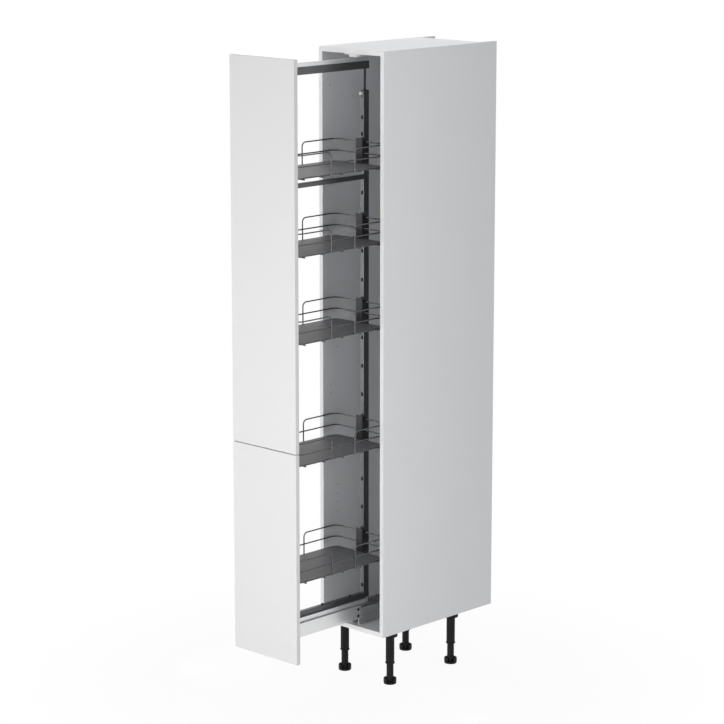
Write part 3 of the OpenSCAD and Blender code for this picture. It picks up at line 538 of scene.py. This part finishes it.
def solids(node):
    """Boxes of the separate solids in a node, in the order of their lower corners."""
    form = clean_copy(node)
    left, boxes = set(form.verts), []
    while left:
        todo, group = [left.pop()], []
        while todo:
            corner = todo.pop()
            group.append(corner.co.copy())
            near = {e.other_vert(corner) for e in corner.link_edges} & left
            left -= near
            todo.extend(near)
        boxes.append((Vector(map(min, zip(*group))), Vector(map(max, zip(*group)))))
    form.free()
    return sorted(boxes, key=lambda box: tuple(box[0]))


# %% [markdown]
# ## Drilled side panels
# The inner faces have a few holes of five millimetres for runners and stops. Those in a row are 32
# millimetres apart. A dark spot would do from afar, but only a real hole has a rim that catches the
# light. A tree sets a cutter at every point, half of it in the board, and the raw chipboard shows inside.

# %% Drilled side panels
HOLE_RADIUS, CUTTER_LONG, CUTTER_SIDES = 2.5 * MM, 11 * MM, 24
HOLES = [(-0.037, 0.998), (-0.037, 1.030), (-0.037, 2.058), (-0.005, 0.574), (-0.005, 0.606),
         (-0.005, 0.638), (-0.005, 0.670), (-0.005, 1.158), (0.073, 2.013)]

drilled, d_in, d_out = shape_tree("drilled", Holes=OBJECT, Radius=FLOAT, Depth=FLOAT, Core=MATERIAL)
cutter = add(drilled, "GeometryNodeMeshCylinder", {"Vertices": CUTTER_SIDES, "Radius": d_in["Radius"],
                                                   "Depth": d_in["Depth"]})
core = coat(drilled, cutter.outputs["Mesh"], d_in["Core"])
spots = add(drilled, "GeometryNodeObjectInfo", {"Object": d_in["Holes"]}).outputs["Geometry"]
cutters = scatter(drilled, spots, core, Rotation=(0, math.pi / 2, 0))
d_out("Geometry", cut_out(drilled, d_in["Geometry"], cutters))

for node, inner in (("side_panel_left", 1), ("side_panel_right", 0)):
    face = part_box(node)[inner].x
    spots = points(node + "_holes", [(face, y, z) for y, z in HOLES])
    piece = banded(node)
    grow(piece, drilled, Holes=spots, Radius=HOLE_RADIUS, Depth=CUTTER_LONG, Core=finishes["chipboard"])
    shade(piece)
    stand_in(piece, node)
    forget(spots)
print("drilled", len(HOLES), "holes in each side panel")

# %% [markdown]
# ## Legs and feet
# A leg is a moulded sleeve with a rimmed flange, screwed under the cabinet. The foot turns in it on a
# coarse thread, and a crown with two gaps stands round its sole for the fingers. A tree places cutters on
# a circle, each with a corner towards the middle. Three-sided cutters leave such gaps, round ones leave
# flutes. The stem is added after the cut.

# %% Legs
SLEEVE_LOW, RIM_LOW, FLANGE_LOW, LEG_TOP = 73, 171, 185, 190
CORNERS = ("front_left", "front_right", "rear_left", "rear_right")
sleeve = [(0, 169), (12.8, 169), (12.8, 73.6), (13.4, SLEEVE_LOW), (15.9, SLEEVE_LOW), (16.5, 73.6),
          (16.5, 77.4), (15.9, 78), (15, 78.4), (15, 184), (15.3, 184.7), (16, FLANGE_LOW),
          (23.6, FLANGE_LOW), (24, 184.6), (24, 171.5), (24.5, RIM_LOW), (25.5, RIM_LOW), (26, 171.5),
          (26, LEG_TOP), (0, LEG_TOP)]

for corner in CORNERS:
    node = "leg_sleeve_" + corner
    low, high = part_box(node)
    piece = turned(node + "_looks", sleeve)
    piece.data.materials.append(finishes["leg_black"])
    shade(piece, sharp=35)
    move(piece, ((low.x + high.x) / 2, (low.y + high.y) / 2, 0))
    stand_in(piece, node)
print("four sleeves")

# %% Notch tree
notched, n_in, n_out = shape_tree("notched", Core=OBJECT, Count=INTEGER, Ring=FLOAT, Cutter=FLOAT,
                                  Sides=INTEGER, Low=FLOAT, High=FLOAT, Turn=FLOAT, Material=MATERIAL)
step = reckon(notched, "DIVIDE", 2 * math.pi, n_in["Count"])
index = notched.nodes.new("GeometryNodeInputIndex").outputs[0]
angle = reckon(notched, "MULTIPLY_ADD", index, step, n_in["Turn"])
outwards = add(notched, "ShaderNodeCombineXYZ", {"X": reckon(notched, "COSINE", angle),
                                                 "Y": reckon(notched, "SINE", angle)})
spot = add(notched, "ShaderNodeVectorMath", {0: outwards.outputs[0], "Scale": n_in["Ring"]},
           operation="SCALE")
ring = add(notched, "GeometryNodePoints", {"Count": n_in["Count"], "Position": spot.outputs[0]})
height = reckon(notched, "SUBTRACT", n_in["High"], n_in["Low"])
middle = reckon(notched, "MULTIPLY_ADD", height, 0.5, n_in["Low"])
lift = add(notched, "ShaderNodeCombineXYZ", {"Z": middle})
cutter = add(notched, "GeometryNodeMeshCylinder", {"Vertices": n_in["Sides"], "Radius": n_in["Cutter"],
                                                   "Depth": height})
place = notched.nodes.new("GeometryNodeInputPosition").outputs[0]
inwards = add(notched, "ShaderNodeVectorMath", {0: place, "Scale": -1.0}, operation="SCALE")
facing = add(notched, "FunctionNodeAlignRotationToVector", {"Vector": inwards.outputs[0]}, axis="X",
             pivot_axis="Z")
cutters = scatter(notched, ring.outputs[0], cutter.outputs[0], Rotation=facing.outputs[0])
lifted = add(notched, "GeometryNodeTransform", {0: cutters, "Translation": lift.outputs[0]})
cut = cut_out(notched, n_in["Geometry"], lifted.outputs[0])
core = add(notched, "GeometryNodeObjectInfo", {"Object": n_in["Core"]}).outputs["Geometry"]
n_out("Geometry", coat(notched, join(notched, cut, core), n_in["Material"]))
print("notched:", len(notched.nodes), "nodes")

# %% Feet
STEM_RADIUS = 12.5
THREAD_LOW, THREAD_DEEP, THREAD_PITCH, THREAD_TURNS = 22, 0.7, 4, 12
GAPS, GAP_SIDES, GAP_TURN = 2, 3, math.radians(-45)
GAP_RING, GAP_CUTTER, GAP_LOW, GAP_HIGH = 0.021, 0.021, 0.007, 0.03
thread = [(STEM_RADIUS - THREAD_DEEP * (k % 2), THREAD_LOW + THREAD_PITCH * k / 2)
          for k in range(2 * THREAD_TURNS)]
crown = [(0, 0), (20.6, 0), (21.4, 0.5), (22.1, 3), (22.5, 7), (22.5, 19.4), (21.9, 20), (19.6, 20),
         (19, 19.4), (19, 7.5), (18.4, 7), (0, 7)]
stem = [(0, 3), (STEM_RADIUS, 3), (STEM_RADIUS, 20.3), *thread, (STEM_RADIUS, 72), (STEM_RADIUS, 147),
        (11.5, 148), (0, 148)]

for corner in CORNERS:
    node = "foot_" + corner
    low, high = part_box(node)
    piece = turned(node + "_looks", crown, steps=60)
    core = turned("stem", stem)
    grow(piece, notched, Core=core, Count=GAPS, Ring=GAP_RING, Cutter=GAP_CUTTER, Sides=GAP_SIDES,
         Low=GAP_LOW, High=GAP_HIGH, Turn=GAP_TURN, Material=finishes["leg_black"])
    forget(core)
    shade(piece, sharp=35)
    move(piece, ((low.x + high.x) / 2, (low.y + high.y) / 2, low.z))
    stand_in(piece, node)
print("four feet with", GAPS, "gaps and", THREAD_TURNS, "turns of thread")

# %% [markdown]
# ## Screws
# All wood screws are the same pan head with a cross recess. Each could be cut by itself, but the cut is
# slow. So one blank is turned for each group, and a tree cuts its recess once with two bars and sets a
# copy at every point, turned to the way the head looks.

# %% Screw tree
screwed, s_in, s_out = shape_tree("screwed", Blank=OBJECT, Reach=FLOAT, Web=FLOAT, Deep=FLOAT,
                                  Material=MATERIAL)
blank = add(screwed, "GeometryNodeObjectInfo", {"Object": s_in["Blank"]}).outputs["Geometry"]
bars = []
for across, along in (("Reach", "Web"), ("Web", "Reach")):
    size = add(screwed, "ShaderNodeCombineXYZ", {"X": s_in[across], "Y": s_in[along], "Z": s_in["Deep"]})
    cube = add(screwed, "GeometryNodeMeshCube", {"Size": size.outputs[0]})
    bars.append(cube.outputs["Mesh"])
cut = cut_out(screwed, blank, *bars)
way = add(screwed, "GeometryNodeInputNamedAttribute", {"Name": "way"}, data_type="FLOAT_VECTOR")
turn = add(screwed, "FunctionNodeAlignRotationToVector", {"Vector": way.outputs[0]}, axis="Z")
screws = scatter(screwed, s_in["Geometry"], cut, Rotation=turn.outputs[0])
s_out("Geometry", coat(screwed, screws, s_in["Material"]))
print("screwed:", len(screwed.nodes), "nodes")

# %% Screws
HEAD_RADIUS, HEAD_HEIGHT, SHANK_RADIUS = 4.0, 2.5, 2.0
RECESS_REACH, RECESS_WEB, RECESS_DEEP = 0.0042, 0.0009, 0.003
HEADS = {"leg_screws": (0, 0, -1), "base_rail_screws": (0, 0, 1), "door_screws": (0, 1, 0),
         "guide_screws": (0, 0, -1)}


def screw_blank(tip):
    """A screw without its recess, from the height of its tip up to zero at the top of its head."""
    return turned("blank", [(0, tip), (SHANK_RADIUS * 0.5, tip + 0.2), (SHANK_RADIUS, tip + 2.5),
                            (SHANK_RADIUS, -HEAD_HEIGHT), (HEAD_RADIUS - 0.2, -HEAD_HEIGHT),
                            (HEAD_RADIUS, -HEAD_HEIGHT + 0.3), (HEAD_RADIUS - 0.1, -1.3),
                            (HEAD_RADIUS - 0.7, -0.5), (HEAD_RADIUS - 1.8, -0.08), (0, 0)], steps=32)


for node, way in HEADS.items():
    way = Vector(way)
    tops, lengths = [], []
    for low, high in solids(node):
        lengths.append(abs((high - low).dot(way)))
        tops.append((low + high) / 2 + way * lengths[-1] / 2)
    blank = screw_blank(-min(lengths) / MM)
    piece = points(node + "_looks", tops, way=[way] * len(tops))
    grow(piece, screwed, Blank=blank, Reach=RECESS_REACH, Web=RECESS_WEB, Deep=RECESS_DEEP,
         Material=finishes["screw_zinc"])
    shade(piece, sharp=40)
    stand_in(piece, node)
    forget(blank)
    print(node, len(tops))

# %% [markdown]
# ## Clamping screws
# A white fluted knob on each post faces the baskets, so that a hand can loosen it and shift the top rail.
# Its flutes could be cut one by one, but the tree for the gaps in the feet sets any number of cutters on
# a circle, so it serves here too.

# %% Clamping screws
KNOB_LONG = 11 * MM
FLUTES, FLUTE_SIDES = 14, 20
FLUTE_RING, FLUTE_CUTTER, FLUTE_LOW, FLUTE_HIGH = 0.0053, 0.0006, 0.001, 0.0125
knob_profile = [(0, 0), (4.2, 0), (5, 0.7), (5, 10.2), (4.2, 11), (2.4, 11), (2.2, 8), (0, 8)]
shank_profile = [(0, -8.2), (2.2, -8.2), (2.5, -7.7), (2.5, 0.2), (0, 0.2)]

node = "clamp_screws"
knobs = solids(node)
between = sum((low.y + high.y) / 2 for low, high in knobs) / len(knobs)
form = bmesh.new()
for low, high in knobs:
    knob = turned("knob", knob_profile)
    grow(knob, notched, Count=FLUTES, Sides=FLUTE_SIDES, Ring=FLUTE_RING, Cutter=FLUTE_CUTTER,
         Low=FLUTE_LOW, High=FLUTE_HIGH, Material=finishes[slot_of[node]])
    shank = turned("shank", shank_profile, steps=24)
    height = (low.z + high.z) / 2
    for part in (knob, shank):
        for corner in part.data.vertices:
            x, y, z = corner.co
            if low.y > between:
                corner.co = (x, low.y + KNOB_LONG - z, height + y)
            else:
                corner.co = (x, high.y - KNOB_LONG + z, height - y)
        form.from_mesh(part.data)
        forget(part)
piece = link_new(node + "_looks", form)
piece.data.materials.append(finishes[slot_of[node]])
shade(piece, sharp=40)
stand_in(piece, node)
soften(THIN_EDGE, "frame_bolts")
print(len(knobs), "clamping screws with", FLUTES, "flutes")

# %% [markdown]
# ## Plugs
# Black plugs sit in the holes: two at the rear end of each carriage side, and the pin hole below each
# clamping screw. Their black stands in for the shade inside the open holes, so it is painted shade. A
# plug's body sits in the hole and its thin rim lies on the face around it. They are turned like the
# screws, and six are too few to need a tree.

# %% Plugs
PLUG_DEEP, PLUG_HIGH = 1.5, 0.8
CARRIAGE_HOLE, CARRIAGE_RIM, CARRIAGE_INSET = 4.4, 5.5, 15 * MM
CARRIAGE_SHARES = (1 / 4, 3 / 4)
PIN_HOLE, PIN_RIM, PIN_DROP = 2.5, 3.6, 10 * MM


def plug(form, hole, rim, place, way):
    """Add a plug of two radii to a form, at a place on a face and looking out of it."""
    part = turned("plug", [(0, -PLUG_DEEP), (hole, -PLUG_DEEP), (hole, 0), (rim, 0), (rim, PLUG_HIGH / 2),
                           (rim - PLUG_HIGH / 2, PLUG_HIGH), (0, PLUG_HIGH)], steps=32)
    turn = Vector(way).to_track_quat("Z", "Y")
    for corner in part.data.vertices:
        corner.co = turn @ corner.co + Vector(place)
    form.from_mesh(part.data)
    forget(part)


form = bmesh.new()
low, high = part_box("runner_carriage")
for side in (low.x, high.x):
    for share in CARRIAGE_SHARES:
        height = low.z + share * (high.z - low.z)
        plug(form, CARRIAGE_HOLE, CARRIAGE_RIM, (side, high.y - CARRIAGE_INSET, height), (side, 0, 0))
for low, high in knobs:
    height = (low.z + high.z) / 2 - PIN_DROP
    if low.y > between:
        plug(form, PIN_HOLE, PIN_RIM, (0, low.y + KNOB_LONG, height), (0, -1, 0))
    else:
        plug(form, PIN_HOLE, PIN_RIM, (0, high.y - KNOB_LONG, height), (0, 1, 0))
piece = link_new("hole_plugs", form)
# The plugs' black stands in for the shade inside the open holes: painted shade.
piece.data.materials.append(finishes["fitting_black"])
shade(piece, sharp=40)
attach(piece, body_of["runner_carriage"])
print("six plugs")

# %% [markdown]
# ## Wire baskets
# Every basket is bent from round wire and spot welded: a ring at the tray, a second ring above it, cross
# wires under the tray, and a rim of two bows that come down to the rings as legs. Only the corner points
# are given. A tree turns the lines into curves, rounds each corner by its own radius, sweeps a circle
# along them and sets a small bead on every weld. Five drawn curves would look the same, but a tree keeps
# them alike.

# %% Wire tree
WIRE_SIDES, BEND_STEPS, BEAD_STEPS = 14, 8, 2

wired, w_in, w_out = shape_tree("wired", Wire=FLOAT, Bead=FLOAT, Material=MATERIAL)
bend = add(wired, "GeometryNodeInputNamedAttribute", {"Name": "bend"}, data_type="FLOAT")
weld = add(wired, "GeometryNodeInputNamedAttribute", {"Name": "weld"}, data_type="BOOLEAN")
path = add(wired, "GeometryNodeMeshToCurve", {0: w_in["Geometry"]})
path = add(wired, "GeometryNodeFilletCurve", {0: path.outputs[0], "Radius": bend.outputs[0],
                                              "Count": BEND_STEPS}, mode="POLY")
ring = add(wired, "GeometryNodeCurvePrimitiveCircle", {"Resolution": WIRE_SIDES, "Radius": w_in["Wire"]})
tube = add(wired, "GeometryNodeCurveToMesh", {"Curve": path.outputs[0], "Profile Curve": ring.outputs[0],
                                              "Fill Caps": True})
spots = add(wired, "GeometryNodeMeshToPoints", {"Mesh": w_in["Geometry"], "Selection": weld.outputs[0]})
bead = add(wired, "GeometryNodeMeshIcoSphere", {"Radius": w_in["Bead"], "Subdivisions": BEAD_STEPS})
beads = scatter(wired, spots.outputs[0], bead.outputs[0])
w_out("Geometry", coat(wired, join(wired, tube.outputs[0], beads), w_in["Material"]))
print("wired:", len(wired.nodes), "nodes")

# %% Lines of a basket
WIRE = 2.25
RING_X, RING_Y, RING_BEND = 117.65, 207.65, 25
RIM_X, RIM_Y, RIM_BEND = 122, 212, 29.35
LEG_Y, LEG_BEND = 55, 15
TRAY_RING, MIDDLE_RING, RIM = -2.25, 35, 73
CROSS_Y, CROSS_LOW, CROSS_OVER = (-176, -88, 0, 88, 176), -6.6, 4
AROUND = ((1, 1), (-1, 1), (-1, -1), (1, -1))


def basket_lines():
    """Corner points with their bends, lines as index pairs, and welds, in millimetres from the tray."""
    corners, lines, welds = [], [], []

    def run(path, closed=False):
        first = len(corners)
        corners.extend(path)
        lines.extend((first + k, first + k + 1) for k in range(len(path) - 1))
        if closed:
            lines.append((len(corners) - 1, first))

    for z in (TRAY_RING, MIDDLE_RING):
        run([(sx * RING_X, sy * RING_Y, z, RING_BEND) for sx, sy in AROUND], closed=True)
    for sy in (1, -1):
        foot, leg, bow = -2 * WIRE, sy * LEG_Y, sy * RIM_Y
        run([(RIM_X, leg, foot, 0), (RIM_X, leg, RIM, LEG_BEND), (RIM_X, bow, RIM, RIM_BEND),
             (-RIM_X, bow, RIM, RIM_BEND), (-RIM_X, leg, RIM, LEG_BEND), (-RIM_X, leg, foot, 0)])
        welds += [(sx * (RIM_X - WIRE), leg, z) for sx in (1, -1) for z in (TRAY_RING, MIDDLE_RING)]
    for y in CROSS_Y:
        run([(-RING_X - CROSS_OVER, y, CROSS_LOW, 0), (RING_X + CROSS_OVER, y, CROSS_LOW, 0)])
        welds += [(sx * RING_X, y, (CROSS_LOW + TRAY_RING) / 2) for sx in (1, -1)]
    return corners, lines, welds


corners, lines, welds = basket_lines()
print(len(lines), "straight lines and", len(welds), "welds in a basket")

# %% Wire baskets
BEAD = 0.0029
bends = [c[3] * MM for c in corners] + [0.0] * len(welds)
welded = [False] * len(corners) + [True] * len(welds)

for k in BASKETS:
    node = f"basket_{k}_wires"
    low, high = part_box(f"basket_{k}_tray")
    start = Vector((0, (low.y + high.y) / 2, high.z))
    places = [start + Vector(c[:3]) * MM for c in corners] + [start + Vector(w) * MM for w in welds]
    mesh = bpy.data.meshes.new(node)
    mesh.from_pydata([tuple(p) for p in places], lines, [])
    mesh.attributes.new("bend", "FLOAT", "POINT").data.foreach_set("value", bends)
    mesh.attributes.new("weld", "BOOLEAN", "POINT").data.foreach_set("value", welded)
    piece = bpy.data.objects.new(node + "_looks", mesh)
    bpy.context.scene.collection.objects.link(piece)
    grow(piece, wired, Wire=WIRE * MM, Bead=BEAD, Material=finishes["wire_dark"])
    shade(piece, sharp=60)
    stand_in(piece, node)
print(len(BASKETS), "baskets")

# %% [markdown]
# ## Basket clamps
# A clamp is moulded in one piece: a block that grips the post and the wires, with a top that falls away
# towards the post and stiffening ribs on the lower half of its face. The ribs are set by a tree along a
# line, so that their number and pitch stay two values.

# %% Rib tree
ribbed, r_in, r_out = shape_tree("ribbed", Count=INTEGER, Pitch=FLOAT, Rib=OBJECT, Material=MATERIAL)
rib = add(ribbed, "GeometryNodeObjectInfo", {"Object": r_in["Rib"]}).outputs["Geometry"]
less = reckon(ribbed, "SUBTRACT", r_in["Count"], 1.0)
half = reckon(ribbed, "MULTIPLY", less, -0.5)
start = add(ribbed, "ShaderNodeCombineXYZ", {"X": reckon(ribbed, "MULTIPLY", half, r_in["Pitch"])})
step = add(ribbed, "ShaderNodeCombineXYZ", {"X": r_in["Pitch"]})
line = add(ribbed, "GeometryNodeMeshLine", {"Count": r_in["Count"], "Start Location": start.outputs[0],
                                            "Offset": step.outputs[0]})
ribs = scatter(ribbed, line.outputs[0], rib)
r_out("Geometry", coat(ribbed, join(ribbed, ribs, r_in["Geometry"]), r_in["Material"]))
print("ribbed:", len(ribbed.nodes), "nodes")

# %% Basket clamps
CLAMP_EDGE, CLAMP_LEAST = 0.8, 8
TOP_FALL, TOP_WITHIN, BLOCK_WITHIN = 14 * MM, 1e-5, 1e-6
RIB_COUNT, RIB_PITCH = 4, 6.2 * MM
RIB_SIZE, RIB_EDGE, RIB_MIDDLE = (2.4 * MM, 1.8 * MM, 27 * MM), 0.6 * MM, 0.0175


def rib_at(place):
    """One rib with rounded edges, at a place on the clamp's face."""
    form = bmesh.new()
    bmesh.ops.create_cube(form, size=1.0)
    for corner in form.verts:
        corner.co = Vector(place) + Vector(c * s for c, s in zip(corner.co, RIB_SIZE))
    bmesh.ops.bevel(form, geom=form.edges[:], offset=RIB_EDGE, segments=BEVEL_STEPS, profile=BEVEL_ROUND,
                    affect="EDGES")
    return link_new("rib", form)


def holds(block, corner):
    """True where a corner lies between the two ends of a block."""
    return block[0].y - BLOCK_WITHIN <= corner.co.y <= block[1].y + BLOCK_WITHIN


for k in BASKETS:
    node = f"basket_{k}_clamps"
    blocks = solids(node)
    form = clean_copy(node)
    middle = sum((low.y + high.y) / 2 for low, high in blocks) / len(blocks)
    for corner in form.verts:
        low, high = next(block for block in blocks if holds(block, corner))
        if corner.co.z > high.z - TOP_WITHIN:
            face, tail = (low.y, high.y) if low.y > middle else (high.y, low.y)
            corner.co.z -= TOP_FALL * (corner.co.y - face) / (tail - face)
    piece = rounded(node, CLAMP_EDGE, shortest=CLAMP_LEAST, form=form)
    for low, high in blocks:
        face = low.y if low.y > middle else high.y
        rib = rib_at((0, face, low.z + RIB_MIDDLE))
        grow(piece, ribbed, Count=RIB_COUNT, Pitch=RIB_PITCH, Rib=rib, Material=finishes["fitting_black"])
        forget(rib)
    shade(piece)
    stand_in(piece, node)
print("clamps with", RIB_COUNT, "ribs on each face")

# %% [markdown]
# ## Studio
# The unit stands on a white sweep in a bright tent, which lights every side. Six softboxes shape it: one
# low at the front left and one ahead for the doors, one at the right that reaches into the cabinet, and
# one overhead for the top. Two narrow ones stand upright and close: one beside the right wall's front
# edge, so that the wall grows a little darker towards the back, and one at the left behind the doors, for
# the carcass's front edges and the knobs. The floor is seen as white and keeps a faint shadow near the
# unit. A picture of a studio could light it too, but single lamps can be moved one by one.

# %% Tent
TENT = 0.46


def looked_at(tree):
    """One where the background is seen, straight on or in a mirror, and zero where it only gives light."""
    path = tree.nodes.new("ShaderNodeLightPath").outputs
    seen = reckon(tree, "MAXIMUM", path["Is Camera Ray"], path["Is Glossy Ray"])
    return reckon(tree, "MAXIMUM", seen, path["Is Transmission Ray"])


world = bpy.data.worlds.new("tent")
bpy.context.scene.world = world
world.use_nodes = True
sky = world.node_tree
level = add(sky, "ShaderNodeMapRange", {"Value": looked_at(sky), "To Min": TENT, "To Max": 1.0})
sky.links.new(level.outputs[0], sky.nodes["Background"].inputs["Strength"])
sky.nodes["Background"].inputs["Color"].default_value = (1, 1, 1, 1)
print("tent at", TENT)

# %% Softboxes
def softbox(name, place, target, width, height, power):
    """An area lamp that the camera doesn't see."""
    data = bpy.data.lights.new(name, "AREA")
    data.shape = "RECTANGLE"
    data.size = width
    data.size_y = height
    data.energy = power
    lamp = bpy.data.objects.new(name, data)
    lamp.location = place
    lamp.rotation_euler = (Vector(target) - Vector(place)).to_track_quat("-Z", "Y").to_euler()
    lamp.visible_camera = False
    bpy.context.scene.collection.objects.link(lamp)


softbox("key", (-2.0, -3.6, 0.75), (0, -0.4, 1.0), 1.8, 1.3, 19)
softbox("front", (0.95, -3.2, 0.95), (0.1, -0.4, 1.1), 0.8, 1.8, 30)
softbox("right", (4.0, -4.2, 1.6), (0.1, 0, 1.1), 2.0, 2.4, 24)
softbox("overhead", (-0.6, 0.8, 4.7), (0, 0.2, 2.2), 2.4, 2.0, 29)
softbox("side", (0.6, -0.1, 1.35), (0.15, -0.1, 1.35), 0.15, 2.7, 0.85)
softbox("gap", (-0.55, -0.4, 1.4), (-0.14, -0.07, 1.4), 0.12, 2.7, 2.2)
print("six softboxes")

# %% Floor
FLOOR_SIZE = 60
SHADOW_NEAR, SHADOW_FAR = 0.5, 1.4
PAPER_GLOW, PAPER_ROUGH = 0.93, 0.9
PAPER_WHITE = (0.92, 0.92, 0.92, 1)

form = bmesh.new()
bmesh.ops.create_grid(form, x_segments=1, y_segments=1, size=FLOOR_SIZE / 2)
floor = link_new("floor", form)
paper = bpy.data.materials.new("sweep")
paper.use_nodes = True
tree = paper.node_tree
shader = tree.nodes["Principled BSDF"]
shader.inputs["Base Color"].default_value = PAPER_WHITE
shader.inputs["Roughness"].default_value = PAPER_ROUGH
shader.inputs["Specular IOR Level"].default_value = 0.0
place = tree.nodes.new("ShaderNodeTexCoord").outputs["Object"]
away = add(tree, "ShaderNodeVectorMath", {0: place}, operation="LENGTH")
white = add(tree, "ShaderNodeMapRange", {"Value": away.outputs["Value"], "From Min": SHADOW_NEAR,
                                         "From Max": SHADOW_FAR, "To Min": PAPER_GLOW, "To Max": 1.0},
            interpolation_type="SMOOTHSTEP")
share = reckon(tree, "MULTIPLY", looked_at(tree), white.outputs[0])
glow = add(tree, "ShaderNodeEmission", {"Strength": 1.0})
mixed = add(tree, "ShaderNodeMixShader", {0: share, 1: shader.outputs[0], 2: glow.outputs[0]})
tree.links.new(mixed.outputs[0], tree.nodes["Material Output"].inputs["Surface"])
floor.data.materials.append(paper)
print("floor", FLOOR_SIZE, "m wide")
